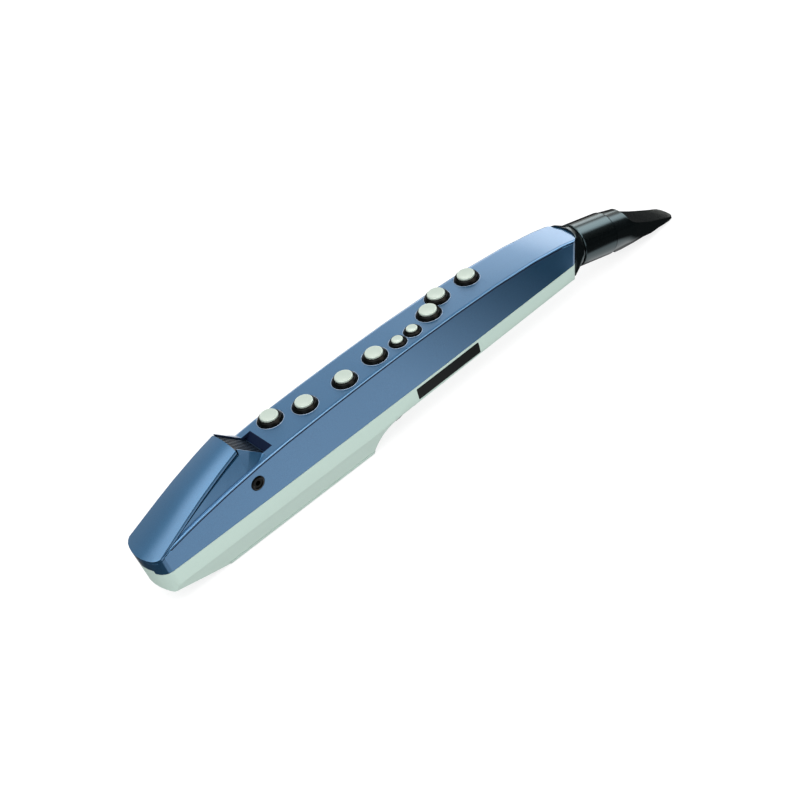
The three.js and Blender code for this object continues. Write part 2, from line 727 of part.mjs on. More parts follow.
function batteryCover() {
  const z0 = -bulgeBottom;
  const z1 = -bulgeBottom + coverThick;
  const share = coverThick / (bulgeBottom - sideDepth);
  const section = (x) => {
    const foot = halfWidth(x) - bulgeInset;
    return mirroredSection(x, [[foot + bulgeInset * share - underRound / 4, z1],
      [foot - coverRound / 2, z0 + coverRound], [foot - coverRound * 2, z0]]);
  };
  const stations = [coverStart, ...lowerStations.filter((x) => x > coverStart && x < coverEnd), coverEnd];
  const rings = stations.map(section);
  const nose = rampLine[0][0];
  rings.push(section(nose).map(([x, y, z]) => [nose + (z - z0) * (rampLine[1][0] - nose)
    / (rampLine[1][1] - rampLine[0][1]), y, z]));
  let cover = loft(rings, flatYZ);
  for (let i = 0; i < coverGrooveCount; i++) {
    const x = coverGrooveStart + i * coverGrooveStep;
    cover = cut(cover, block(x, x + coverGrooveWide, -coverGrooveHalf, coverGrooveHalf, z0 - cleanCut,
      z0 + coverGrooveDeep));
  }
  return cover;
}

function screwPlaces() {
  const places = [];
  screwXs.forEach((x, i) => {
    for (const side of [1, -1]) places.push([x, side * screwRows[i], belly(x)]);
  });
  return places;
}

function bottomShell() {
  const seamLip = lip(0).intersect(block(bellEndX, mouthEndX - lipBack, -halfWidth(0), halfWidth(0), -overrun,
    overrun));
  let shell = cut(sum(cut(lowerOutside(), lowerRoom()), seamLip), batteryBay(), coverSeat());
  const posts = boardPosts().map(([x, y]) => disc(postRadius, belly(x) + shellWall / 2,
    mainBoardZ - boardThick - postGap, screwFacets).translate([x, y, 0]));
  const bosses = screwPlaces().map(([x, y, z]) => disc(bossRadius, z + shellWall / 2, -bossStart, screwFacets)
    .translate([x, y, 0]));
  const tongue = bellTongue(0).intersect(planSolid(-cleanCut, bellTongueRise * 2, 0, 0));
  shell = sum(shell, tongue, sum(...posts, ...bosses).intersect(lowerOutside()));
  for (const [x, y, z] of screwPlaces()) shell = cut(shell, screwWell(z).translate([x, y, 0]));
  for (const [x, radius] of backKeys()) shell = cut(shell, backHole(x, radius));
  return cut(shell, neckPassage());
}

function screwWell(z) {
  return sum(disc(screwHead + screwFit, z - bossRadius, screwSeatZ + screwFit, screwFacets),
    disc(screwShank + screwFit, screwSeatZ - cleanCut, cleanCut, screwFacets));
}

function topBosses() {
  return screwPlaces().map(([x, y]) => disc(bossRadius, bossStart, topZ(x) - topWall / 2, screwFacets)
    .translate([x, y, 0]));
}

// A cross-head screw, its seat at z = 0
function caseScrew() {
  const low = -screwHeadHigh;
  const body = turned([[0, low], [screwHead, low], [screwHead, 0], [screwShank, 0], [screwShank, screwLength
    - screwShank], [0, screwLength]], screwFacets);
  const slot = block(-driveLong / 2, driveLong / 2, -driveWide / 2, driveWide / 2, low - cleanCut, low + driveDeep);
  const across = block(-driveWide / 2, driveWide / 2, -driveLong / 2, driveLong / 2, low - cleanCut, low + driveDeep);
  return cut(body, slot, across);
}

const backKeys = () => [...octaveXs.map((x) => [x, octaveRadius, octaveUp]), ...backButtonXs.map((x) => [x,
  backButtonRadius, backButtonUp])];

function backHole(x, radius) {
  return disc(radius + keyFit, belly(x) - cleanCut, belly(x) + shellWall + cleanCut, smallFacets)
    .translate([x, 0, 0]);
}

// A button on the back: it stands out of the shell, with a flange inside and a plunger under the board
function backKey([x, radius, up]) {
  const low = belly(x) - up;
  const flange = belly(x) + shellWall + backFlangeGap;
  const stemEnd = mainBoardZ - boardThick - backTravel - stemFloor;
  return turned([[0, low], [radius - backRound, low], [radius, low + backRound], [radius, flange],
    [radius + backFlange, flange], [radius + backFlange, flange + backFlangeThick], [smallKey.stem, flange
      + backFlangeThick], [smallKey.stem, stemEnd], [0, stemEnd]], smallFacets);
}

function thumbHook() {
  return sideways(hookLine.map(([x, z]) => [hookX + x, z]), -hookHalf, hookHalf);
}

function thumbRest() {
  const top = belly(restX) - backSeat;
  const oval = (share, z) => Array.from({ length: roundFacets }, (_, i) => {
    const a = 2 * Math.PI * i / roundFacets;
    return [restX + restHalfLong * share * Math.cos(a), restHalfWide * share * Math.sin(a), z];
  });
  return loft(restShares.map(([wide, high]) => oval(wide, top - restHigh * high)), flatXY);
}

// A round tube whose middle follows the points
function hose(points, outer, inner) {
  const curve = new THREE.CatmullRomCurve3(points.map((p) => new THREE.Vector3(...p)));
  const shape = new THREE.Shape();
  shape.absarc(0, 0, outer, 0, Math.PI * 2, false);
  const hole = new THREE.Path();
  hole.absarc(0, 0, inner, 0, Math.PI * 2, true);
  shape.holes.push(hole);
  const options = { steps: hoseSteps, curveSegments: hoseFacets / 2, bevelEnabled: false, extrudePath: curve };
  return fromGeometry(new THREE.ExtrudeGeometry(shape, options));
}

function airTube() {
  const nozzleZ = mainBoardZ + postGap + sensorHigh / 2;
  const nozzleEnd = sensorX + sensorHalf + sensorNozzleHigh;
  const neckAt = (t) => [neckX + t * Math.cos(neckAngle), 0, neckZ - t * Math.sin(neckAngle)];
  return hose([[nozzleEnd - tubeOverNozzle, 0, nozzleZ], [nozzleEnd, 0, nozzleZ], [nozzleEnd + tubeEase, 0,
    nozzleZ + tubeEase / 3], neckAt(neckTubeBack - tubeEase / 2), neckAt(neckTubeBack), neckAt(neckTubeBack
    + tubeInNeck)], tubeOuter, tubeInner);
}

function boardPosts() {
  const y = mainBoardHalf - postInset / 2;
  return [[mainBoardStart + postInset, y], [mainBoardStart + postInset, -y], [mainBoardEnd - postInset, y],
    [mainBoardEnd - postInset, -y]];
}

function grille() {
  const shape = new THREE.Shape();
  const near = lidGap;
  const far = slopeLength - lidGap;
  shape.moveTo(0, -grilleHalf);
  shape.lineTo(far, -grilleHalf);
  shape.lineTo(far, grilleHalf);
  shape.lineTo(0, grilleHalf);
  shape.closePath();
  for (let i = 0; i < slotCount; i++) {
    const y = (i - (slotCount - 1) / 2) * slotStep;
    const hole = new THREE.Path();
    hole.moveTo(near + grilleTopRim, y - slotWide / 2);
    hole.lineTo(near + grilleTopRim, y + slotWide / 2);
    hole.lineTo(far - grilleEndRim, y + slotWide / 2);
    hole.lineTo(far - grilleEndRim, y - slotWide / 2);
    hole.closePath();
    shape.holes.push(hole);
  }
  const plate = new THREE.ExtrudeGeometry(shape, { depth: grilleThick, bevelEnabled: false });
  plate.translate(0, 0, -grilleThick);
  plate.rotateY(slopeAngle);
  plate.translate(slopeStartX, 0, slopeStartZ);
  return fromGeometry(plate).intersect(block(crestX + lidGap, slopeEndX, -grilleHalf, grilleHalf, 0, slopeStartZ));
}

// The speaker's own frame: z points out of the louvre slope, z = 0 on the back of the louvres
const speaker = new THREE.Group();
speaker.name = 'speaker';
const [speakerX, speakerZ] = onSlope(speakerSlide, -grilleThick - lidGap);
speaker.position.set(speakerX, 0, speakerZ);
speaker.rotation.y = slopeAngle;

function speakerDriver() {
  const inner = speakerRadius - speakerRim;
  const basket = turned([[0, -speakerDeep - speakerMagnetDeep], [speakerMagnetRadius, -speakerDeep
    - speakerMagnetDeep], [speakerMagnetRadius, -speakerDeep], [speakerRadius - speakerRim, -speakerRim],
  [speakerRadius, -speakerRim], [speakerRadius, 0], [inner, 0], [inner, -coneTop - coneThick - coneGap],
  [coneCapRadius, -coneDeep - coneThick - coneGap], [0, -coneDeep - coneThick - coneGap]], roundFacets);
  return basket.scale([speakerStretchShare, 1, 1]);
}

function speakerCone() {
  const inner = speakerRadius - speakerRim - coneGap;
  const cone = turned([[0, -coneDeep], [coneCapRadius, -coneDeep], [inner, -coneTop], [inner, -coneTop - coneThick],
    [coneCapRadius, -coneDeep - coneThick], [0, -coneDeep - coneThick]], roundFacets);
  return cone.scale([speakerStretchShare, 1, 1]);
}

// Keys are drawn with z = 0 on the top of the body
function keySkirt(top, key) {
  const stemEnd = boardTopZ + postGap + matThick + domeHigh + keyTravel + stemFloor - top;
  return turned([[0, stemEnd], [key.stem, stemEnd], [key.stem, -skirtDown], [key.skirt, -skirtDown],
    [key.skirt, skirtUp], [key.shoulder, skirtShoulderUp], [0, skirtShoulderUp]], keyFacets);
}

function keyCap(key) {
  const base = skirtShoulderUp + capSeat;
  return turned([[0, base], [key.cap, base], [key.cap, key.up - capRound], [key.cap - capRound, key.up],
    [0, key.up - capDish]], keyFacets);
}

function keyBoard() {
  return block(boardStart + postGap, boardEnd - postGap, -boardHalf, boardHalf, boardTopZ - boardThick, boardTopZ);
}

function domeMat() {
  const z0 = boardTopZ + postGap;
  const inset = postGap * 2;
  const sheet = block(boardStart + inset, boardEnd - inset, -boardHalf + inset, boardHalf - inset, z0,
    z0 + matThick);
  const dome = turned([[0, z0], [domeRadius, z0], [domeRadius, z0 + matThick], [domeTopRadius, z0 + matThick
    + domeHigh], [0, z0 + matThick + domeHigh]], domeFacets);
  return sum(sheet, ...[...mainKeys, ...smallKeys].map(([x, y]) => dome.translate([x, y, 0])));
}

function neckCollar() {
  const ring = (at, roundShare, radius) => Array.from({ length: collarFacets }, (_, i) => {
    const angle = 2 * Math.PI * i / collarFacets;
    const c = Math.cos(angle);
    const s = Math.sin(angle);
    const up = c > 0 ? collarUp : collarDown;
    const boxed = (value) => Math.sign(value) * Math.abs(value) ** collarCornerShare;
    return [up * boxed(c) * (1 - roundShare) + radius * c * roundShare, collarHalf * boxed(s) * (1 - roundShare)
      + radius * s * roundShare, at];
  });
  const flange = loft([ring(collarBack, 0, 0), ring(collarFoot, 0, 0),
    ring(collarFront - collarRim * 2, collarBlendShare, barrelRadius), ring(collarFront - collarRim, 1, barrelRadius),
    ring(collarFront, 1, barrelRadius - barrelEdge)], flatXY);
  const outside = cut(flange, intoNeck(planSolid(-overrun, slopeStartZ, -collarFitGap, cleanCut)));
  const tube = turned([[airBore, neckTubeBack], [neckTube, neckTubeBack], [neckTube, collarFoot],
    [neckTube, collarFront - collarRim], [spigotRadius, collarFront - collarRim], [spigotRadius, spigotEnd],
    [airBore, spigotEnd], [airBore, neckTubeBack]], roundFacets);
  return cut(sum(outside, tube), disc(airBore, neckTubeBack - cleanCut, spigotEnd + cleanCut, roundFacets));
}

function neckSleeve() {
  return turned([[sleeveInner, sleeveStart], [sleeveOuter, sleeveStart], [sleeveOuter, sleeveEnd],
    [sleeveInner, sleeveEnd], [sleeveInner, sleeveStart]], roundFacets);
}

const tableAt = (t) => tableAtStart + (tableAtTip - tableAtStart) * (t - tableStart) / (beakEnd - tableStart);
const facingAt = (t) => tableAt(t) + tipOpening * Math.max(0, (t - facingStart) / (beakEnd - facingStart)) ** 2;

// Outlines here are [distance along the neck, height]; the neck frame has height on x and distance on z
const neckSide = (outline, half) => sideways(outline.map(([t, n]) => [n, t]), -half, half);

function mouthpieceBody() {
  const throat = barrelRadius - throatStep;
  const shape = turned([[0, mouthStart], [barrelRadius - barrelEdge, mouthStart], [barrelRadius, mouthStart
    + barrelEdge], [barrelRadius, stepAt], [barrelRadius - stepDeep, stepAt], [barrelRadius - stepDeep, stepAt
    + stepWide], [barrelRadius - bandStep, stepAt + stepWide], [throat, throatAt], [throat, beakEnd], [0, beakEnd]],
  barrelFacets);
  const beakTop = neckSide([...beakTopLine, [beakEnd, overrun], [beakStart, overrun]],
    overrun);
  const planHalf = [...beakPlan.slice(0, -1), ...bend([beakPlan[beakPlan.length - 1][0], beakTipHalf],
    [beakEnd, beakTipHalf], [beakEnd, 0])];
  const plan = [[mouthStart - cleanCut, overrun], [beakPlan[0][0], overrun], ...planHalf];
  const outline = [...plan, ...plan.slice(0, -1).reverse().map(([t, y]) => [t, -y])];
  const planBlock = loft([-overrun, overrun].map((n) => outline.map(([t, y]) => [n, y, t])),
    (p) => [p[1], p[2]]);
  const table = steps(tableStart, beakEnd + cleanCut, tableSteps).map((t) => [t, facingAt(t)]);
  const under = neckSide([[tableStart, -overrun], ...table, [beakEnd + cleanCut, -overrun]],
    overrun);
  const chamber = neckSide([...chamberLine, [chamberLine[chamberLine.length - 1][0], -barrelRadius],
    [windowStart, -barrelRadius], [windowStart, tableAt(windowStart) + windowLip], [chamberStart,
      -mouthBore / 2]], chamberHalf);
  const bore = turned([[0, mouthStart - cleanCut], [mouthBore, mouthStart - cleanCut], [mouthBore, spigotEnd
    + cleanCut], [mouthBore / 2, chamberStart + cleanCut], [0, chamberStart + cleanCut]], roundFacets);
  return cut(shape.intersect(planBlock), beakTop, under, chamber, bore);
}

function reed() {
  const rings = reedLine.map(([t, bottom, half]) => {
    const top = tableAt(t) - reedGap;
    const share = (t - reedLine[0][0]) / (beakEnd - reedLine[0][0]);
    const crown = reedCrown + (reedTipCrown - reedCrown) * share;
    const ys = steps(-half, half, reedStepsAcross);
    const low = ys.map((y) => [bottom + crown * (y / half) * (y / half), y, t]);
    return [[top, -half, t], ...low, [top, half, t]];
  });
  return loft(rings, flatXY);
}

function jackHole() {
  const y = -halfWidth(jackX);
  const bore = disc(jackBody + jackFit, -cleanCut * 2, shellWall + cleanCut, roundFacets);
  const seat = disc(jackRing + jackFit, -cleanCut * 2, jackRingSeat, roundFacets);
  return sum(bore, seat).rotate([-90, 0, 0]).translate([jackX, y, jackZ]);
}

// A socket drawn along z, from the ring at z = 0 inwards
function phonesJack() {
  const seat = jackRingSeat - jackFit;
  return turned([[0, jackBoreDeep], [jackBore, jackBoreDeep], [jackBore, 0], [jackBody / 2 + jackBore / 2, 0],
    [jackRing - jackRingOut * 2, -jackRingOut], [jackRing, 0], [jackRing, seat], [jackBody, seat],
    [jackBody, jackDeep], [0, jackDeep]], keyFacets);
}

function usbHole() {
  const y = halfWidth(usbX);
  const g = jackFit;
  return block(usbX - usbHalf - g, usbX + usbHalf + g, y - shellWall - cleanCut, y + cleanCut, usbZ - usbHalfHigh - g,
    usbZ + usbHalfHigh + g);
}

function usbSocket() {
  const y = halfWidth(usbX) + usbRimOut;
  const can = block(usbX - usbHalf, usbX + usbHalf, y - usbDeep, y, usbZ - usbHalfHigh, usbZ + usbHalfHigh);
  const mouth = block(usbX - usbHalf + usbWall, usbX + usbHalf - usbWall, y - usbDeep + usbWall * 2, y + cleanCut,
    usbZ - usbHalfHigh + usbWall, usbZ + usbHalfHigh - usbWall);
  const tongue = block(usbX - usbHalf + usbWall * 3, usbX + usbHalf - usbWall * 3, y - usbDeep + usbWall, y
    - usbWall * 2, usbZ - usbTongue / 2, usbZ + usbTongue / 2);
  return sum(cut(can, mouth), tongue);
}

const batteryZ = -bulgeBottom + coverThick + batteryRest + batteryRadius;

// A cell standing on z = 0, its raised end up
function battery() {
  const far = batteryLength - batteryTipLength;
  return turned([[0, 0], [batteryRadius, 0], [batteryRadius, far], [batteryTipRadius, far],
    [batteryTipRadius, batteryLength], [0, batteryLength]], smallFacets);
}

// An end plate with a cone spring for each row of cells, on the plane z = 0
function batteryContact() {
  const rowSpan = batterySpread + contactHalf;
  const plate = block(-contactHalf, contactHalf, -rowSpan, rowSpan, 0, contactThick);
  const cone = turned([[0, 0], [contactHalf / 2, 0], [contactHalf / 4, contactBow], [0, contactBow]], screwFacets);
  const springs = [1, -1].map((row) => cone.translate([0, row * batterySpread, contactThick / 2]));
  return sum(plate, ...springs);
}

function mainBoard() {
  return block(mainBoardStart, mainBoardEnd, -mainBoardHalf, mainBoardHalf, mainBoardZ - boardThick, mainBoardZ);
}

function breathSensor() {
  const z0 = mainBoardZ + postGap;
  const box = block(sensorX - sensorHalf, sensorX + sensorHalf, -sensorHalf, sensorHalf, z0, z0 + sensorHigh);
  const nozzle = disc(sensorNozzle, 0, sensorHalf + sensorNozzleHigh, screwFacets).rotate([0, 90, 0])
    .translate([sensorX, 0, z0 + sensorHigh / 2]);
  return sum(box, nozzle);
}

const slots = {
  body_blue: ['#4f71a3', 0.35, 0.35],
  shell_pale: ['#c3d4cb', 0.5, 0],
  key_silver: ['#dfe2db', 0.25, 0.6],
  key_black: ['#15171a', 0.4, 0],
  mouth_black: ['#0c0f11', 0.2, 0],
  back_black: ['#1b1d20', 0.6, 0],
  grille_blue: ['#3d5a8a', 0.5, 0.2],
  steel: ['#b9bcc0', 0.35, 1],
  board_green: ['#1f5b3a', 0.6, 0],
  silicone: ['#d8d4c6', 0.7, 0],
  cell_wrap: ['#3f4348', 0.4, 0],
  cone_paper: ['#2a2723', 0.9, 0],
};

const materials = Object.fromEntries(Object.entries(slots).map(([name, [color, roughness, metalness]]) => {
  const material = new THREE.MeshStandardMaterial({ color, roughness, metalness });
  material.name = name;
  return [name, material];
}));

const body = new THREE.Group();
body.name = 'body';
body.add(neck, speaker);

function place(name, slot, solid, parent = body) {
  const { vertProperties, triVerts } = solid.getMesh();
  const geometry = new THREE.BufferGeometry();
  geometry.setAttribute('position', new THREE.BufferAttribute(new Float32Array(vertProperties), 3));
  geometry.setIndex(new THREE.BufferAttribute(new Uint32Array(triVerts), 1));
  geometry.computeVertexNormals();
  const mesh = new THREE.Mesh(geometry, materials[slot]);
  mesh.name = name;
  parent.add(mesh);
  return mesh;
}

place('top_shell', 'body_blue', topShell());
place('bottom_shell', 'shell_pale', bottomShell());
place('hood_lid', 'body_blue', hoodLid());
place('speaker_grille', 'grille_blue', grille());
place('speaker_driver', 'steel', speakerDriver(), speaker);
place('speaker_cone', 'cone_paper', speakerCone(), speaker);

function placeKeys(keys, key, skirtName, capName) {
  const cap = keyCap(key);
  keys.forEach(([x, y], i) => {
    place(`${skirtName}_${i + 1}`, 'key_black', keySkirt(topZ(x), key)).position.set(x, y, topZ(x));
    place(`${capName}_${i + 1}`, 'key_silver', cap).position.set(x, y, topZ(x));
  });
}
placeKeys(mainKeys, mainKey, 'key_skirt', 'key_cap');
placeKeys(smallKeys, smallKey, 'small_skirt', 'small_cap');

place('key_board', 'board_green', keyBoard());
place('dome_mat', 'silicone', domeMat());
place('neck_collar', 'back_black', neckCollar(), neck);
place('neck_sleeve', 'silicone', neckSleeve(), neck);
place('mouthpiece_body', 'mouth_black', mouthpieceBody(), neck);
place('reed', 'mouth_black', reed(), neck);

const jack = place('phones_jack', 'key_black', phonesJack());
jack.position.set(jackX, -halfWidth(jackX), jackZ);
jack.rotation.x = -Math.PI / 2;
place('usb_socket', 'steel', usbSocket());

place('battery_cover', 'shell_pale', batteryCover());
const cell = battery();
[cellStart, cellStart + cellStep].forEach((x, column) => {
  [1, -1].forEach((row, i) => {
    const placed = place(`battery_${column * 2 + i + 1}`, 'cell_wrap', cell);
    placed.position.set(x, row * batterySpread, batteryZ);
    placed.rotation.y = Math.PI / 2;
  });
});
const contact = batteryContact();
const bellContact = place('contact_bell', 'steel', contact);
bellContact.position.set(bayStart + lidGap, 0, batteryZ);
bellContact.rotation.y = Math.PI / 2;
const neckContact = place('contact_neck', 'steel', contact);
neckContact.position.set(bayEnd - lidGap, 0, batteryZ);
neckContact.rotation.y = -Math.PI / 2;

place('main_board', 'board_green', mainBoard());
place('breath_sensor', 'back_black', breathSensor());
place('air_tube', 'silicone', airTube());
const screw = caseScrew();
screwPlaces().forEach(([x, y], i) => place(`case_screw_${i + 1}`, 'steel', screw).position.set(x, y, screwSeatZ));

place('thumb_hook', 'back_black', thumbHook());
place('thumb_rest', 'silicone', thumbRest());
const backNames = ['octave_key_1', 'octave_key_2', 'power_button', 'volume_down', 'volume_up'];
backKeys().forEach((key, i) => place(backNames[i], 'back_black', backKey(key)).position.setX(key[0]));

// The whole part stands on the origin at the middle of its footprint
const box = new THREE.Box3().setFromObject(body, true);
body.position.set(-(box.min.x + box.max.x) / 2, -(box.min.y + box.max.y) / 2, -box.min.z);

const part = new THREE.Group();
part.name = 'digital_wind_controller';
part.add(body);

export default part;
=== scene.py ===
import json
import math

import bmesh
import bpy
from mathutils import Matrix, Vector
from mathutils.bvhtree import BVHTree


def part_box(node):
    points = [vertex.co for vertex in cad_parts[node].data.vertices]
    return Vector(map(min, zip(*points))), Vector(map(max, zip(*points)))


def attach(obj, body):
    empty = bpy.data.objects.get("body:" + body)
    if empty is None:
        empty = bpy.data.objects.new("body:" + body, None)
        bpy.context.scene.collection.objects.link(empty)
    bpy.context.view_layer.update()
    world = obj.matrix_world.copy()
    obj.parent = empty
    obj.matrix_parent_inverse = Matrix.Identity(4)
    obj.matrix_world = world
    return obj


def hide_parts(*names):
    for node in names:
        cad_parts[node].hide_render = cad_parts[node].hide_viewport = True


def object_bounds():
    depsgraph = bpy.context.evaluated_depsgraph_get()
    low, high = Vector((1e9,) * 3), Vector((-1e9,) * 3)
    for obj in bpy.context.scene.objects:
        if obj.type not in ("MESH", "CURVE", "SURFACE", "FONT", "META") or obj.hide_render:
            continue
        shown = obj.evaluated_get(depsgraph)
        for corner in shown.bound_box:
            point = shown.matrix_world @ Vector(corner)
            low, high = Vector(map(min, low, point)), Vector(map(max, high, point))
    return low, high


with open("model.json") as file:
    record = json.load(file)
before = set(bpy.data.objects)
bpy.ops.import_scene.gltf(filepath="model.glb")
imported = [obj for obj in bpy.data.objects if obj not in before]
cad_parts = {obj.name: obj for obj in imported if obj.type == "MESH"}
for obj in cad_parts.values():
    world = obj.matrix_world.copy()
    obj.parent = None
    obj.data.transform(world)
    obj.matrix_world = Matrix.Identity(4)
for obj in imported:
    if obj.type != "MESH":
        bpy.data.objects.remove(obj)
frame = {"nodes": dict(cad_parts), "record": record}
cadLow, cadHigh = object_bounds()
print("frame loaded:", len(frame["nodes"]), "nodes")

mm = 0.001
closeBy = 0.002 * mm  # points nearer than this are one

# The solids are drawn in millimetres from the bell corner, at the seam's height, and inFrame carries such a
# point into the frame. From there the battery cover starts so far past and lies so far under
drawnCover = {"past": 46, "under": 28.6}
coverLow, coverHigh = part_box("battery_cover")
drawnAt = Vector((coverLow.x - drawnCover["past"] * mm, (coverLow.y + coverHigh.y) / 2,
                  coverLow.z + drawnCover["under"] * mm))


def inFrame(x, y, z):
    return drawnAt + Vector((x, y, z)) * mm


def addObject(name, data):
    added = bpy.data.objects.new(name, data)
    bpy.context.scene.collection.objects.link(added)
    return added


# Camera, floor and light
viewFit = {"turn": 30.692, "height": 39.188, "roll": 16.532, "distance": 1.20689,
           "across": -0.152653, "up": -0.100667, "lens": 89.95, "sensor": 36, "near": 0.01, "far": 20}


def makeCamera(fit):
    turn, height, roll = (math.radians(fit[k]) for k in ("turn", "height", "roll"))
    back = Vector((-math.sin(turn) * math.cos(height), -math.cos(turn) * math.cos(height), math.sin(height)))
    level = Vector((math.cos(turn), -math.sin(turn), 0))
    rise = back.cross(level)
    right = math.cos(roll) * level - math.sin(roll) * rise
    up = math.sin(roll) * level + math.cos(roll) * rise
    turned = Matrix((right, up, back)).transposed()
    place = turned @ Vector((-fit["across"], -fit["up"], fit["distance"])) + drawnAt
    camera = addObject("camera", bpy.data.cameras.new("camera"))
    camera.data.sensor_width = fit["sensor"]
    camera.data.lens = fit["lens"]
    camera.data.clip_start = fit["near"]
    camera.data.clip_end = fit["far"]
    camera.matrix_world = Matrix.Translation(place) @ turned.to_4x4()
    bpy.context.scene.camera = camera


def link(nodeTree, fromSocket, toSocket):
    nodeTree.links.new(fromSocket, toSocket)


def startMaterial(name):
    material = bpy.data.materials.new(name)
    material.use_nodes = True
    nodeTree = material.node_tree
    shader = nodeTree.nodes["Principled BSDF"]
    return material, nodeTree, shader


floorLook = {"size": 18.0, "colour": (0.28, 0.28, 0.28, 1), "rough": 0.9, "lift": 0.78, "drop": 0.2}
# What glossy faces mirror of the floor: light below the bell half, dark towards the neck, and fainter away
# from the part. Beside the mouthpiece lies a lit strip, which fades in and out between these pairs of places
floorCard = {"from": -0.26, "to": 0.26, "strength": 1.9, "beside": 0.9, "away": (0.09, 0.22, 1.0, 0.4),
             "shades": [(-0.26, 0.01), (-0.234, 0.02), (-0.214, 0.53), (-0.10, 0.56), (0.0, 0.53),
                        (0.05, 0.33), (0.10, 0.12), (0.14, 0.02)],
             "stripX": (0.143, 0.156), "stripEnd": (0.198, 0.186), "stripIn": (0.050, 0.034),
             "stripOut": (0.0, 0.012)}


def addMath(nodeTree, operation, first, second):
    node = nodeTree.nodes.new("ShaderNodeMath")
    node.operation = operation
    for socket, value in zip(node.inputs, (first, second)):
        if isinstance(value, (int, float)):
            socket.default_value = value
        else:
            link(nodeTree, value, socket)
    return node.outputs[0]


def addRange(nodeTree, value, fromLow, fromHigh, toLow, toHigh, smooth=True):
    node = nodeTree.nodes.new("ShaderNodeMapRange")
    node.interpolation_type = "SMOOTHSTEP" if smooth else "LINEAR"
    for name, limit in (("From Min", fromLow), ("From Max", fromHigh), ("To Min", toLow), ("To Max", toHigh)):
        node.inputs[name].default_value = limit
    link(nodeTree, value, node.inputs["Value"])
    return node.outputs["Result"]


# The mirrored shade of each place on the floor, from the card's grades and its strip
def mirroredShade(nodeTree, card):
    places = nodeTree.nodes.new("ShaderNodeTexCoord")
    split = nodeTree.nodes.new("ShaderNodeSeparateXYZ")
    link(nodeTree, places.outputs["Object"], split.inputs[0])
    along = split.outputs["X"]
    outward = addMath(nodeTree, "MULTIPLY", split.outputs["Y"], -1.0)
    grades = nodeTree.nodes.new("ShaderNodeValToRGB")
    stops = grades.color_ramp.elements
    while len(stops) < len(card["shades"]):
        stops.new(0.5)  # its place comes below
    for stop, (x, grey) in zip(stops, card["shades"]):
        stop.position = (x - card["from"]) / (card["to"] - card["from"])
        stop.color = (grey, grey, grey, 1)
    link(nodeTree, addRange(nodeTree, along, card["from"], card["to"], 0, 1, False), grades.inputs["Fac"])
    across = addMath(nodeTree, "MULTIPLY", addRange(nodeTree, outward, *card["stripIn"], 0, 1),
                     addRange(nodeTree, outward, *card["stripOut"], 0, 1))
    length = addMath(nodeTree, "MULTIPLY", addRange(nodeTree, along, *card["stripX"], 0, card["beside"]),
                     addRange(nodeTree, along, *card["stripEnd"], 0, 1))
    strip = addMath(nodeTree, "MULTIPLY", length, across)
    faded = addMath(nodeTree, "MULTIPLY", grades.outputs["Color"], addRange(nodeTree, outward, *card["away"]))
    return addMath(nodeTree, "ADD", addMath(nodeTree, "MULTIPLY", faded, card["strength"]), strip)


def makeFloor(look, card):
    half = look["size"] / 2
    corners = [(-half, -half, 0), (half, -half, 0), (half, half, 0), (-half, half, 0)]
    mesh = bpy.data.meshes.new("floor")
    mesh.from_pydata(corners, [], [(0, 1, 2, 3)])
    floor = addObject("floor", mesh)
    floor.location.z = -look["drop"] * mm
    material, nodeTree, shader = startMaterial("paleFloor")
    shader.inputs["Base Color"].default_value = look["colour"]
    shader.inputs["Roughness"].default_value = look["rough"]
    shader.inputs["Specular IOR Level"].default_value = 0
    rays = nodeTree.nodes.new("ShaderNodeLightPath")
    lift = nodeTree.nodes.new("ShaderNodeEmission")
    seen = addMath(nodeTree, "MAXIMUM", rays.outputs["Is Camera Ray"], rays.outputs["Is Transmission Ray"])
    link(nodeTree, addMath(nodeTree, "MULTIPLY", seen, look["lift"]), lift.inputs["Strength"])
    lifted = nodeTree.nodes.new("ShaderNodeAddShader")
    link(nodeTree, shader.outputs[0], lifted.inputs[0])
    link(nodeTree, lift.outputs[0], lifted.inputs[1])
    shade = nodeTree.nodes.new("ShaderNodeEmission")
    link(nodeTree, mirroredShade(nodeTree, card), shade.inputs["Strength"])
    mirrored = nodeTree.nodes.new("ShaderNodeMixShader")
    link(nodeTree, rays.outputs["Is Glossy Ray"], mirrored.inputs[0])
    link(nodeTree, lifted.outputs[0], mirrored.inputs[1])
    link(nodeTree, shade.outputs[0], mirrored.inputs[2])
    link(nodeTree, mirrored.outputs[0], nodeTree.nodes["Material Output"].inputs["Surface"])
    mesh.materials.append(material)


# Each lamp: place, aim, size across and along, watts
lampRig = {
    "overheadSoftbox": [(-0.28, -0.38, 1.42), (-0.15, 0, 0), 1.3, 0.9, 9],
    "farStrip": [(0.9, 1.3, 0.5), (0.05, 0, 0.05), 1.6, 0.4, 4],
    "bellSideFill": [(-1.1, -0.9, 0.8), (-0.12, 0, 0.03), 0.8, 0.8, 2],
}


def makeLamps(rig):
    for name, (place, aim, across, along, watts) in rig.items():
        light = bpy.data.lights.new(name, "AREA")
        light.shape = "RECTANGLE"
        light.size = across
        light.size_y = along
        light.energy = watts
        lamp = addObject(name, light)
        lamp.location = place
        lamp.rotation_euler = (Vector(aim) - Vector(place)).to_track_quat("-Z", "Y").to_euler()


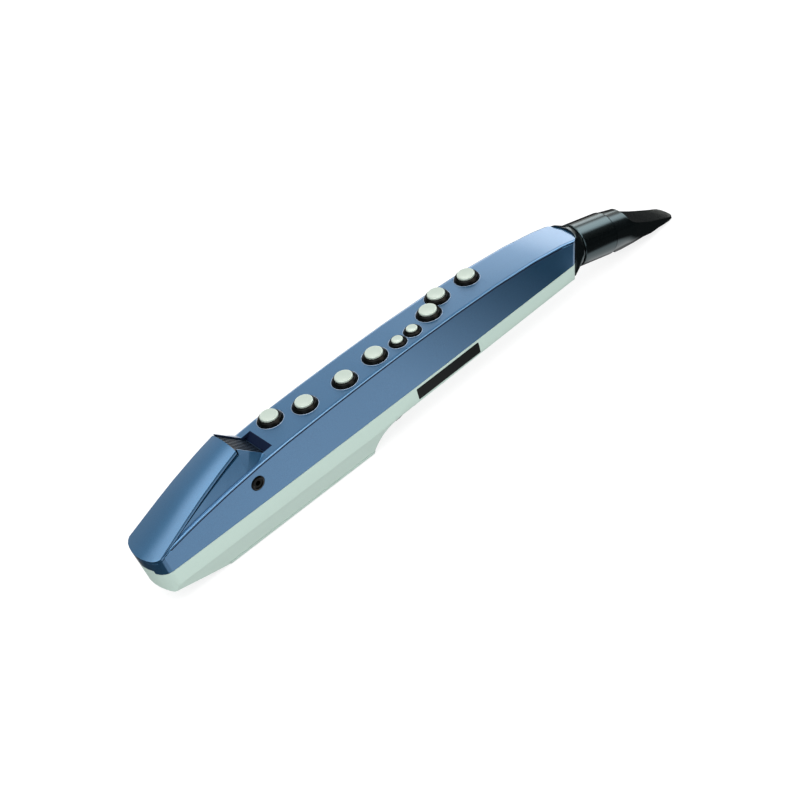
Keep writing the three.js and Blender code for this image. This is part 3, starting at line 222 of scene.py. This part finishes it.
# Cards in the sky, which glossy faces alone see: direction, cosine of the edge, strength, tint. The flag's
# strength is below zero, so it takes light away
mirrorCards = {
    "beyondMouthpiece": [(0.72, 0.64, 0.27), 0.84, 0.42, (1.0, 0.87, 0.74)],
    "farBackdrop": [(0.36, 0.78, 0.50), 0.55, 0.50, (1.0, 1.0, 1.0)],
    "nearEdgeStrip": [(0.40, -0.60, 0.69), 0.90, 3.8, (1.0, 0.88, 0.76)],
    "overLid": [(-0.40, 0.20, 0.90), 0.88, 2.15, (1.0, 0.97, 0.92)],
    "overBarrel": [(0.80, 0.06, 0.59), 0.92, 3.6, (1.0, 1.0, 1.0)],
    "flagBesideNeck": [(0.70, -0.66, 0.28), 0.88, -0.11, (1.0, 1.0, 1.0)],
}
# How bright the camera, dull faces and glossy faces see the plain sky
skyLook = {"seen": 0.95, "soft": 1.06, "mirrored": 0.12, "tint": (0.98, 0.99, 1.0)}


def addVector(nodeTree, operation, first, second, scale=None):
    node = nodeTree.nodes.new("ShaderNodeVectorMath")
    node.operation = operation
    for socket, value in zip(node.inputs, (first, second)):
        if isinstance(value, (tuple, Vector)):
            socket.default_value = value
        elif value is not None:
            link(nodeTree, value, socket)
    if scale is not None:
        link(nodeTree, scale, node.inputs["Scale"])
    return node.outputs["Value" if operation == "DOT_PRODUCT" else "Vector"]


# The Mix node repeats its sockets for each kind of value: the numbers of its first, second and result
mixSockets = {"VECTOR": (4, 5, 1), "RGBA": (6, 7, 2)}


def addMix(nodeTree, kind, factor):
    node = nodeTree.nodes.new("ShaderNodeMix")
    node.data_type = kind
    link(nodeTree, factor, node.inputs[0])
    first, second, result = mixSockets[kind]
    return node.inputs[first], node.inputs[second], node.outputs[result]


def makeSky(look, cards):
    world = bpy.data.worlds.new("studio")
    world.use_nodes = True
    nodeTree = world.node_tree
    places = nodeTree.nodes.new("ShaderNodeTexCoord")
    rays = nodeTree.nodes.new("ShaderNodeLightPath")
    mirrored = tuple(look["mirrored"] * part for part in look["tint"])
    for aim, edge, strength, tint in cards.values():
        toward = addVector(nodeTree, "DOT_PRODUCT", places.outputs["Generated"], Vector(aim).normalized())
        glow = addVector(nodeTree, "SCALE", tint, None, addRange(nodeTree, toward, edge, 1, 0, strength))
        mirrored = addVector(nodeTree, "ADD", glow, mirrored)
    seen = addMath(nodeTree, "ADD", addMath(nodeTree, "MULTIPLY", rays.outputs["Is Camera Ray"],
                                            look["seen"] - look["soft"]), look["soft"])
    plain = addVector(nodeTree, "SCALE", look["tint"], None, seen)
    others, glossy, level = addMix(nodeTree, "VECTOR", rays.outputs["Is Glossy Ray"])
    link(nodeTree, plain, others)
    link(nodeTree, mirrored, glossy)
    link(nodeTree, level, nodeTree.nodes["Background"].inputs["Color"])
    bpy.context.scene.world = world


makeCamera(viewFit)
makeFloor(floorLook, floorCard)
makeLamps(lampRig)
makeSky(skyLook, mirrorCards)
bpy.context.scene.view_settings.view_transform = "Standard"
print("camera, floor and light set")


# Materials: a fine grain varies the colour and the bump, and a slow drift the roughness
def addNoise(nodeTree, scale, detail):
    places = nodeTree.nodes.new("ShaderNodeTexCoord")
    noise = nodeTree.nodes.new("ShaderNodeTexNoise")
    noise.inputs["Scale"].default_value = scale
    noise.inputs["Detail"].default_value = detail
    link(nodeTree, places.outputs["Object"], noise.inputs["Vector"])
    return noise


def varyColour(nodeTree, shader, fac, dark, light):
    first, second, colour = addMix(nodeTree, "RGBA", fac)
    first.default_value = (*dark, 1)
    second.default_value = (*light, 1)
    link(nodeTree, colour, shader.inputs["Base Color"])


def varyRoughness(nodeTree, shader, fac, low, high):
    spread = nodeTree.nodes.new("ShaderNodeMapRange")
    spread.inputs["To Min"].default_value = low
    spread.inputs["To Max"].default_value = high
    link(nodeTree, fac, spread.inputs["Value"])
    link(nodeTree, spread.outputs["Result"], shader.inputs["Roughness"])


def addBump(nodeTree, shader, fac, strength, distance):
    bump = nodeTree.nodes.new("ShaderNodeBump")
    bump.inputs["Strength"].default_value = strength
    bump.inputs["Distance"].default_value = distance
    link(nodeTree, fac, bump.inputs["Height"])
    link(nodeTree, bump.outputs["Normal"], shader.inputs["Normal"])


# Each finish: the grain's dark and light tone, roughness range, grain scale, bump distance and strength, and
# what differs from the plain finish in metal, clear coat and its index, specular level and tint
plainFinish = {"metal": 0.0, "coat": 0.0, "coatIor": 1.5, "specular": 0.5, "tint": (1, 1, 1)}
grainForm = {"detail": 2, "driftScale": 14, "driftDetail": 3, "coatRough": 0.16}
finishes = {
    "bluePaint": {"dark": (0.029, 0.125, 0.255), "light": (0.058, 0.205, 0.405), "rough": (0.27, 0.34),
                  "grain": 2300, "bump": 0.00002, "strength": 0.25, "metal": 0.75, "coat": 1.0,
                  "coatIor": 1.6},
    # The next finish is a dark navy painted shade for the groove under the rounded edge and the speaker pit's
    # walls
    "paintedShadeNavy": {"dark": (0.004, 0.010, 0.032), "light": (0.009, 0.020, 0.058), "rough": (0.5, 0.6),
                   "grain": 2300, "bump": 0.00002, "strength": 0.2, "metal": 0.2, "specular": 0.2},
    "grilleBlue": {"dark": (0.016, 0.032, 0.055), "light": (0.030, 0.055, 0.085), "rough": (0.3, 0.4),
                   "grain": 4000, "bump": 0.00002, "strength": 0.25, "metal": 0.4, "coat": 0.15},
    # The next finish is a near-black painted shade inside the louvre slots
    "slotPaintedShade": {"dark": (0.002, 0.004, 0.007), "light": (0.005, 0.008, 0.013), "rough": (0.6, 0.7),
                  "grain": 4000, "bump": 0.00002, "strength": 0.2, "specular": 0.1},
    "paleShell": {"dark": (0.585, 0.745, 0.67), "light": (0.655, 0.81, 0.73), "rough": (0.34, 0.44),
                  "grain": 2600, "bump": 0.00003, "strength": 0.3, "specular": 0.4},
    "pearlKey": {"dark": (0.44, 0.52, 0.455), "light": (0.53, 0.61, 0.54), "rough": (0.22, 0.3),
                 "grain": 3500, "bump": 0.00001, "strength": 0.2, "metal": 0.25, "coat": 0.5},
    "blackKey": {"dark": (0.0008, 0.0012, 0.001), "light": (0.0020, 0.0026, 0.0022), "rough": (0.24, 0.32),
                 "grain": 1800, "bump": 0.00001, "strength": 0.2, "specular": 0.12},
    # The next finish is a pale silvery blue, lighter than the body paint: the lip ring's own tone and a
    # painted highlight of the well rims
    "lipSilverHighlight": {"dark": (0.26, 0.36, 0.49), "light": (0.37, 0.48, 0.62), "rough": (0.3, 0.4),
                  "grain": 2300, "bump": 0.00001, "strength": 0.2, "metal": 0.6, "coat": 0.3},
    "polishedBlack": {"dark": (0.0010, 0.0015, 0.0016), "light": (0.0026, 0.0034, 0.0036),
                      "rough": (0.12, 0.18), "grain": 900, "bump": 0.00001, "strength": 0.15,
                      "specular": 0.95, "tint": (0.62, 0.92, 1.0)},
    "reedResin": {"dark": (0.020, 0.029, 0.030), "light": (0.032, 0.043, 0.044), "rough": (0.3, 0.38),
                  "grain": 1400, "bump": 0.00001, "strength": 0.2, "specular": 0.9},
    "mattBlack": {"dark": (0.008, 0.008, 0.009), "light": (0.016, 0.016, 0.018), "rough": (0.45, 0.58),
                  "grain": 2200, "bump": 0.00004, "strength": 0.35, "specular": 0.3},
    "platedSteel": {"dark": (0.46, 0.47, 0.49), "light": (0.58, 0.59, 0.60), "rough": (0.28, 0.4),
                    "grain": 1200, "bump": 0.00001, "strength": 0.2, "metal": 1.0},
    "boardGreen": {"dark": (0.012, 0.09, 0.035), "light": (0.02, 0.13, 0.05), "rough": (0.4, 0.55),
                   "grain": 700, "bump": 0.00002, "strength": 0.3, "coat": 0.1},
    "clearRubber": {"dark": (0.52, 0.50, 0.44), "light": (0.60, 0.58, 0.52), "rough": (0.55, 0.7),
                    "grain": 1500, "bump": 0.00003, "strength": 0.3, "specular": 0.4},
    "cellWrap": {"dark": (0.03, 0.034, 0.038), "light": (0.05, 0.055, 0.06), "rough": (0.25, 0.35),
                 "grain": 600, "bump": 0.00002, "strength": 0.2, "coat": 0.2},
    "pressedPaper": {"dark": (0.010, 0.009, 0.008), "light": (0.022, 0.02, 0.018), "rough": (0.8, 0.95),
                     "grain": 3000, "bump": 0.00006, "strength": 0.5, "specular": 0.3},
    "labelBlack": {"dark": (0.0022, 0.0036, 0.0036), "light": (0.0045, 0.0064, 0.0062), "rough": (0.35, 0.45),
                   "grain": 1600, "bump": 0.00001, "strength": 0.2, "specular": 0.12},
}


def makeFinish(name, look):
    look = {**plainFinish, **look}
    material, nodeTree, shader = startMaterial(name)
    grain = addNoise(nodeTree, look["grain"], grainForm["detail"])
    drift = addNoise(nodeTree, grainForm["driftScale"], grainForm["driftDetail"])
    varyColour(nodeTree, shader, grain.outputs["Fac"], look["dark"], look["light"])
    varyRoughness(nodeTree, shader, drift.outputs["Fac"], *look["rough"])
    addBump(nodeTree, shader, grain.outputs["Fac"], look["strength"], look["bump"])
    shader.inputs["Metallic"].default_value = look["metal"]
    shader.inputs["Coat Weight"].default_value = look["coat"]
    shader.inputs["Coat Roughness"].default_value = grainForm["coatRough"]
    shader.inputs["Coat IOR"].default_value = look["coatIor"]
    shader.inputs["Specular Tint"].default_value = (*look["tint"], 1)
    shader.inputs["Specular IOR Level"].default_value = look["specular"]
    return material


finish = {name: makeFinish(name, look) for name, look in finishes.items()}

# The finish of each slot, and of the nodes that look otherwise
slotFinish = {
    "body_blue": "bluePaint", "shell_pale": "paleShell", "key_silver": "pearlKey", "key_black": "blackKey",
    "mouth_black": "polishedBlack", "back_black": "mattBlack", "grille_blue": "grilleBlue",
    "steel": "platedSteel", "board_green": "boardGreen", "silicone": "clearRubber", "cell_wrap": "cellWrap",
    "cone_paper": "pressedPaper",
}
mainFinish = {"reed": "reedResin", "neck_collar": "polishedBlack", "neck_sleeve": "mattBlack",
              "speaker_driver": "mattBlack"}
nodeSlot = {entry["node"]: entry["material_slot"] for entry in frame["record"]["subparts"]}


def finishOf(node):
    return finish[mainFinish.get(node, slotFinish[nodeSlot[node]])]


for node, obj in frame["nodes"].items():
    for place in obj.material_slots:
        place.material = finishOf(node)
print("finishes made:", len(finish))

# Moulded pieces: the solids again, welded, with smooth faces between their edges
bodyOf = {node: body for body, nodes in frame["record"]["behaviour"]["bodies"].items() for node in nodes}
flatWithin = 0.4  # faces that turn by less, in degrees, become one


def weldedMesh(node):
    mesh = bmesh.new()
    mesh.from_mesh(frame["nodes"][node].data)
    bmesh.ops.remove_doubles(mesh, verts=mesh.verts, dist=closeBy)
    bmesh.ops.dissolve_limit(mesh, angle_limit=math.radians(flatWithin), verts=mesh.verts, edges=mesh.edges)
    manySided = [face for face in mesh.faces if len(face.verts) > 4]
    bmesh.ops.triangulate(mesh, faces=manySided)
    return mesh


def shadeSmooth(mesh, softAngle):
    for face in mesh.faces:
        face.smooth = True
    for edge in mesh.edges:
        if len(edge.link_faces) == 2:
            edge.smooth = edge.calc_face_angle(0) < math.radians(softAngle)


# The fine groove under the rounded edge, well above the seam: its under faces lean out and down, and their
# neighbours lean up. These faces get painted shade, a dark navy finish
grooveLean = {"level": 0.45, "down": (-0.9, -0.5), "up": 0.55, "above": 4}


def grooveShadeFaces(mesh):
    middle = (cadLow.x + cadHigh.x) / 2
    steepest, flattest = grooveLean["down"]
    under = set()
    for face in mesh.faces:
        level = math.hypot(face.normal.x, face.normal.y)
        centre = face.calc_center_median()
        outward = face.normal.y * centre.y > 0 if abs(face.normal.y) > abs(face.normal.x) \
            else face.normal.x * (centre.x - middle) > 0
        leans = level > grooveLean["level"] and steepest < face.normal.z < flattest
        if outward and leans and centre.z > drawnAt.z + grooveLean["above"] * mm:
            under.add(face)
    over = {other for face in under for edge in face.edges for other in edge.link_faces
            if other.normal.z > grooveLean["up"]
            and math.hypot(other.normal.x, other.normal.y) > grooveLean["level"]}
    return under | over


# The speaker pit: how far it runs past the grille and beside it, and how its end wall and its sides face. Its
# walls get painted shade, the same dark navy as the groove
pitReach = {"past": 6, "beside": 0.6, "endBack": -0.6, "endUp": 0.4, "sideways": 0.99}


def pitShadeFaces(mesh):
    low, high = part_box("speaker_grille")
    walls = set()
    for face in mesh.faces:
        centre = face.calc_center_median()
        inPit = low.x < centre.x < high.x + pitReach["past"] * mm and low.z < centre.z \
            and abs(centre.y) < high.y + pitReach["beside"] * mm
        endWall = face.normal.x < pitReach["endBack"] and face.normal.z > pitReach["endUp"]
        sideWall = abs(face.normal.y) > pitReach["sideways"] and face.normal.y * centre.y < 0
        if inPit and (endWall or sideWall):
            walls.add(face)
    return walls


# The upper case's faces that get painted shade: the groove and the pit walls
def paintedShadeCaseFaces(mesh):
    return grooveShadeFaces(mesh) | pitShadeFaces(mesh)


# Faces inside the louvre slots: all that don't face the way of the flat front. They get painted shade, a
# near-black finish
frontForm = {"up": 0.1, "sameWay": 0.97}


def slotShadeFaces(mesh):
    upward = [face for face in mesh.faces if face.normal.z > frontForm["up"]]
    front = max(upward, key=lambda face: face.calc_area()).normal.copy()
    return {face for face in mesh.faces if face.normal.dot(front) < frontForm["sameWay"]}


# Nodes whose chosen faces get a second finish of painted shade, and that finish
paintedShadeFinish = {"top_shell": [paintedShadeCaseFaces, "paintedShadeNavy"], "speaker_grille": [slotShadeFaces, "slotPaintedShade"]}
softEdges = {"reed": 0.35, "thumb_rest": 0.4}  # the width of the rounding
edgeForm = {"segments": 2, "sharperThan": 40, "faceWeight": 80}


def mouldedCopy(node, name, softAngle):
    mesh = weldedMesh(node)
    # Chosen faces take the painted shade finish as a second material
    if node in paintedShadeFinish:
        for face in paintedShadeFinish[node][0](mesh):
            face.material_index = 1
    shadeSmooth(mesh, softAngle)
    data = bpy.data.meshes.new(name)
    mesh.to_mesh(data)
    mesh.free()
    data.materials.append(finishOf(node))
    if node in paintedShadeFinish:
        data.materials.append(finish[paintedShadeFinish[node][1]])
    piece = addObject(name, data)
    if node in softEdges:
        bevel = piece.modifiers.new("softEdge", "BEVEL")
        bevel.width = softEdges[node] * mm
        bevel.segments = edgeForm["segments"]
        bevel.limit_method = "ANGLE"
        bevel.angle_limit = math.radians(edgeForm["sharperThan"])
    weighted = piece.modifiers.new("evenShading", "WEIGHTED_NORMAL")
    weighted.keep_sharp = True
    weighted.weight = edgeForm["faceWeight"]
    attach(piece, bodyOf[node])
    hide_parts(node)


# Each node's new piece, and the angle up to which its edges stay soft
mouldedPieces = {
    "top_shell": ["upperCase", 35], "bottom_shell": ["lowerCase", 35], "hood_lid": ["hoodLid", 28],
    "mouthpiece_body": ["mouthpieceShell", 24], "neck_collar": ["neckCollar", 30], "reed": ["reedBlade", 25],
    "battery_cover": ["gripCover", 25], "thumb_hook": ["thumbHook", 40], "thumb_rest": ["thumbRest", 40],
    "speaker_grille": ["louvreGrille", 30], "phones_jack": ["phonesSocket", 30],
    "neck_sleeve": ["neckSleeve", 30], "octave_key_1": ["octaveKeyA", 30], "octave_key_2": ["octaveKeyB", 30],
    "power_button": ["powerButton", 30], "volume_down": ["volumeDown", 30], "volume_up": ["volumeUp", 30],
}
for node, (name, softAngle) in mouldedPieces.items():
    mouldedCopy(node, name, softAngle)
print("moulded pieces:", len(mouldedPieces))


# Geometry Nodes: how each tree starts and ends, and how its result becomes a plain piece
def startTree(name, sockets):
    tree = bpy.data.node_groups.new(name, "GeometryNodeTree")
    face = tree.interface
    face.new_socket("Geometry", in_out="INPUT", socket_type="NodeSocketGeometry")
    for label, kind in sockets.items():
        face.new_socket(label, in_out="INPUT", socket_type="NodeSocket" + kind)
    face.new_socket("Geometry", in_out="OUTPUT", socket_type="NodeSocketGeometry")
    return tree, tree.nodes.new("NodeGroupInput")


def endTree(tree, start, shape):
    real = tree.nodes.new("GeometryNodeRealizeInstances")
    paint = tree.nodes.new("GeometryNodeSetMaterial")
    end = tree.nodes.new("NodeGroupOutput")
    link(tree, shape, real.inputs["Geometry"])
    link(tree, real.outputs["Geometry"], paint.inputs["Geometry"])
    link(tree, start.outputs["Finish"], paint.inputs["Material"])
    link(tree, paint.outputs["Geometry"], end.inputs["Geometry"])


def setInputs(modifier, values):
    for item in modifier.node_group.interface.items_tree:
        if item.in_out == "INPUT" and item.name in values:
            modifier[item.identifier] = values[item.name]


def bakedPiece(name, source, softAngle):
    view = bpy.context.evaluated_depsgraph_get()
    made = bpy.data.meshes.new_from_object(source.evaluated_get(view))
    bpy.data.objects.remove(source)
    mesh = bmesh.new()
    mesh.from_mesh(made)
    bmesh.ops.remove_doubles(mesh, verts=mesh.verts, dist=closeBy)
    bmesh.ops.recalc_face_normals(mesh, faces=mesh.faces)
    shadeSmooth(mesh, softAngle)
    mesh.to_mesh(made)
    mesh.free()
    made.name = name
    return addObject(name, made)


# Finger keys: one turned form, made once for each key
def turningTree():
    tree, start = startTree("turnedForm", {"Path Radius": "Float", "Facets": "Int", "Place": "Vector",
                                           "Finish": "Material"})
    profile = tree.nodes.new("GeometryNodeMeshToCurve")
    path = tree.nodes.new("GeometryNodeCurvePrimitiveCircle")
    sweep = tree.nodes.new("GeometryNodeCurveToMesh")
    weld = tree.nodes.new("GeometryNodeMergeByDistance")
    weld.inputs["Distance"].default_value = closeBy
    move = tree.nodes.new("GeometryNodeTransform")
    link(tree, start.outputs["Geometry"], profile.inputs["Mesh"])
    link(tree, start.outputs["Facets"], path.inputs["Resolution"])
    link(tree, start.outputs["Path Radius"], path.inputs["Radius"])
    link(tree, path.outputs["Curve"], sweep.inputs["Curve"])
    link(tree, profile.outputs["Curve"], sweep.inputs["Profile Curve"])
    link(tree, sweep.outputs["Mesh"], weld.inputs["Geometry"])
    link(tree, weld.outputs["Geometry"], move.inputs["Geometry"])
    link(tree, start.outputs["Place"], move.inputs["Translation"])
    endTree(tree, start, move.outputs["Geometry"])
    return tree


turnedForm = turningTree()
turnedLook = {"facets": 56, "softAngle": 32}


# A profile of radius and height in millimetres, turned round a place in the frame
def turnedPiece(name, profile, place, finishName):
    reach = max(r for r, z in profile)
    outline = bpy.data.meshes.new(name + "Outline")
    outline.from_pydata([((r - reach) * mm, -z * mm, 0) for r, z in profile],
                        [(k, k + 1) for k in range(len(profile) - 1)], [])
    source = addObject(name + "Source", outline)
    modifier = source.modifiers.new("turned", "NODES")
    modifier.node_group = turnedForm
    setInputs(modifier, {"Path Radius": reach * mm, "Facets": turnedLook["facets"], "Place": place,
                         "Finish": finish[finishName]})
    return bakedPiece(name, source, turnedLook["softAngle"])


def arc(centreR, centreZ, radius, fromAngle, toAngle, count):
    turns = [math.radians(fromAngle + (toAngle - fromAngle) * k / count) for k in range(count + 1)]
    return [(centreR + radius * math.cos(a), centreZ + radius * math.sin(a)) for a in turns]


mainKeys, smallKeys = range(1, 8), range(1, 3)
# Radii of cap, shoulder and skirt, and how high the cap and the collar stand over the case
mainKeySizes = {"cap": 6.05, "shoulder": 7.6, "skirt": 8.3, "up": 4.0, "collar": 2.9}
smallKeySizes = {"cap": 3.85, "shoulder": 5.2, "skirt": 5.8, "up": 3.0, "collar": 2.3}
# What both kinds share; a turn gives an arc's first and last angle and its steps
keyForm = {"capFoot": 1.8, "capEdge": 0.2, "capRound": 0.75, "capTurn": (0, 90, 6),
           "dish": 0.35, "dishShares": (0.12, 0.3, 0.5, 0.7, 0.85, 1),
           "skirtFoot": -1.1, "rim": 0.18, "skirtSide": 0.75, "sideRound": 0.3, "sideTurn": (0, 40, 4),
           "shoulderDrop": 0.7, "shoulderRound": 0.5, "shoulderTurn": (40, 65, 3),
           "collarTop": 0.3, "collarRound": 0.2, "collarTurn": (65, 180, 5), "clear": 0.2, "seat": 1.4}


def capProfile(sizes, form):
    cap, up, rounding, foot = sizes["cap"], sizes["up"], form["capRound"], form["capFoot"]
    profile = [(0, foot), (cap - form["capEdge"], foot), (cap, foot + form["capEdge"])]
    profile += arc(cap - rounding, up - rounding, rounding, *form["capTurn"])
    return profile + [((cap - rounding) * (1 - t), up - form["dish"] * (1 - (1 - t) ** 2))
                      for t in form["dishShares"]]


def skirtProfile(sizes, form):
    skirt, shoulder, collar = sizes["skirt"], sizes["shoulder"], sizes["collar"]
    foot, rim, side, top = form["skirtFoot"], form["rim"], form["sideRound"], form["collarRound"]
    middle, inner = form["shoulderRound"], sizes["cap"] + form["clear"]
    profile = [(0, foot), (skirt - rim, foot), (skirt, foot + rim)]
    profile += arc(skirt - side, form["skirtSide"], side, *form["sideTurn"])
    profile += arc(shoulder - middle, collar - form["shoulderDrop"] - middle, middle, *form["shoulderTurn"])
    profile += arc(inner + form["collarTop"], collar - top, top, *form["collarTurn"])
    return profile + [(inner, form["seat"]), (0, form["seat"])]


def makeKey(number, sizes, skirtNode, capNode, body):
    low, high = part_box(capNode)
    place = Vector(((low.x + high.x) / 2, (low.y + high.y) / 2, low.z - keyForm["capFoot"] * mm))
    capPiece = turnedPiece(f"keyCap{number}", capProfile(sizes, keyForm), place, "pearlKey")
    skirtPiece = turnedPiece(f"keySkirt{number}", skirtProfile(sizes, keyForm), place, "blackKey")
    for piece, node, slotName in ((capPiece, capNode, "key_silver"), (skirtPiece, skirtNode, "key_black")):
        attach(piece, body)
        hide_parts(node)


for number in mainKeys:
    makeKey(f"Main{number}", mainKeySizes, f"key_skirt_{number}", f"key_cap_{number}", f"key_{number}")
for number in smallKeys:
    makeKey(f"Small{number}", smallKeySizes, f"small_skirt_{number}", f"small_cap_{number}",
            f"small_key_{number}")
print("finger keys made")

# Fine raised lip round each key well: a ring that is let down on to the upper case from above the skirt. A
# point of it that meets no face is left out. Its pale silvery finish paints the highlight that the well's rim
# catches
lipSizes = {"beside": 0.62, "thick": 0.27, "lift": 0.05, "from": 10, "facets": 64, "round": 8,
            "softAngle": 60}


def lipTree():
    tree, start = startTree("wellLipRing", {"Case": "Object", "Lip Radius": "Float", "Lift": "Float",
                                            "Facets": "Int", "Round Facets": "Int", "Finish": "Material"})
    circle = tree.nodes.new("GeometryNodeCurvePrimitiveCircle")
    circle.inputs["Radius"].default_value = 1  # each well's own radius scales it
    reach = tree.nodes.new("GeometryNodeInputNamedAttribute")
    reach.inputs["Name"].default_value = "wellRadius"
    copies = tree.nodes.new("GeometryNodeInstanceOnPoints")
    loose = tree.nodes.new("GeometryNodeRealizeInstances")
    case = tree.nodes.new("GeometryNodeObjectInfo")
    drop = tree.nodes.new("GeometryNodeRaycast")
    drop.inputs["Ray Direction"].default_value = (0, 0, -1)
    missed = tree.nodes.new("FunctionNodeBooleanMath")
    missed.operation = "NOT"
    thin = tree.nodes.new("GeometryNodeDeleteGeometry")
    upward = tree.nodes.new("ShaderNodeCombineXYZ")
    settle = tree.nodes.new("GeometryNodeSetPosition")
    section = tree.nodes.new("GeometryNodeCurvePrimitiveCircle")
    sweep = tree.nodes.new("GeometryNodeCurveToMesh")
    link(tree, start.outputs["Facets"], circle.inputs["Resolution"])
    link(tree, start.outputs["Geometry"], copies.inputs["Points"])
    link(tree, circle.outputs["Curve"], copies.inputs["Instance"])
    link(tree, reach.outputs["Attribute"], copies.inputs["Scale"])
    link(tree, copies.outputs["Instances"], loose.inputs["Geometry"])
    link(tree, start.outputs["Case"], case.inputs["Object"])
    link(tree, case.outputs["Geometry"], drop.inputs["Target Geometry"])
    link(tree, drop.outputs["Is Hit"], missed.inputs[0])
    link(tree, loose.outputs["Geometry"], thin.inputs["Geometry"])
    link(tree, missed.outputs[0], thin.inputs["Selection"])
    link(tree, start.outputs["Lift"], upward.inputs["Z"])
    lifted = addVector(tree, "ADD", drop.outputs["Hit Position"], upward.outputs[0])
    link(tree, thin.outputs["Geometry"], settle.inputs["Geometry"])
    link(tree, lifted, settle.inputs["Position"])
    link(tree, start.outputs["Lip Radius"], section.inputs["Radius"])
    link(tree, start.outputs["Round Facets"], section.inputs["Resolution"])
    link(tree, settle.outputs["Geometry"], sweep.inputs["Curve"])
    link(tree, section.outputs["Curve"], sweep.inputs["Profile Curve"])
    endTree(tree, start, sweep.outputs["Mesh"])
    return tree


def makeLips(size):
    wells = [(f"key_skirt_{k}", mainKeySizes["skirt"]) for k in mainKeys]
    wells += [(f"small_skirt_{k}", smallKeySizes["skirt"]) for k in smallKeys]
    places = []
    for node, skirt in wells:
        low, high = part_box(node)
        places.append(((low.x + high.x) / 2, (low.y + high.y) / 2, high.z + size["from"] * mm))
    centres = bpy.data.meshes.new("wellCentres")
    centres.from_pydata(places, [], [])
    radius = centres.attributes.new("wellRadius", "FLOAT", "POINT")
    for entry, (node, skirt) in zip(radius.data, wells):
        entry.value = (skirt + size["beside"]) * mm
    source = addObject("wellLipSource", centres)
    modifier = source.modifiers.new("lips", "NODES")
    modifier.node_group = lipTree()
    setInputs(modifier, {"Case": frame["nodes"]["top_shell"], "Lip Radius": size["thick"] * mm,
                         "Lift": size["lift"] * mm, "Facets": size["facets"], "Round Facets": size["round"],
                         "Finish": finish["lipSilverHighlight"]})
    lips = bakedPiece("wellLips", source, size["softAngle"])
    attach(lips, "instrument")


makeLips(lipSizes)
print("well lips made")

# Bare black plate on the near side of the lower shell
plateSizes = {"start": 207.6, "end": 263.2, "low": -10.4, "high": -1.9, "corner": 0.7, "cornerSteps": 5,
              "proud": 0.14, "sunk": 0.06, "edge": 0.12, "edgeShare": 0.6, "castFrom": -100}
lowerMesh = frame["nodes"]["bottom_shell"].data
lowerSurface = BVHTree.FromPolygons([v.co for v in lowerMesh.vertices],
                                    [tuple(f.vertices) for f in lowerMesh.polygons])


def nearSideY(x, z):
    return lowerSurface.ray_cast(Vector((x, plateSizes["castFrom"] * mm, z)), Vector((0, 1, 0)))[0].y


def makePlate(size):
    corner = size["corner"]
    left, right = size["start"] + corner, size["end"] - corner
    bottom, top = size["low"] + corner, size["high"] - corner
    outline = []
    for cx, cz, turn in ((right, top, 0), (left, top, 90), (left, bottom, 180), (right, bottom, 270)):
        outline += arc(cx, cz, corner, turn, turn + 90, size["cornerSteps"])
    mesh = bmesh.new()
    middleX, middleZ = (size["start"] + size["end"]) / 2, (size["low"] + size["high"]) / 2

    def ring(inset, out):
        verts = []
        for x, z in outline:
            towardX, towardZ = middleX - x, middleZ - z
            px = x + math.copysign(min(inset, abs(towardX)), towardX)
            pz = z + math.copysign(min(inset, abs(towardZ)), towardZ)
            at = inFrame(px, 0, pz)
            verts.append(mesh.verts.new((at.x, nearSideY(at.x, at.z) - out * mm, at.z)))
        return verts

    rings = [ring(0, -size["sunk"]), ring(0, size["proud"] * size["edgeShare"]),
             ring(size["edge"], size["proud"])]
    for first, second in zip(rings, rings[1:]):
        for k in range(len(first)):
            n = (k + 1) % len(first)
            mesh.faces.new((first[k], first[n], second[n], second[k]))
    mesh.faces.new(rings[0])
    mesh.faces.new(rings[-1])
    bmesh.ops.recalc_face_normals(mesh, faces=mesh.faces)
    data = bpy.data.meshes.new("barePlate")
    mesh.to_mesh(data)
    mesh.free()
    data.materials.append(finish["labelBlack"])
    plate = addObject("barePlate", data)
    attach(plate, "instrument")


makePlate(plateSizes)
print("bare plate made")
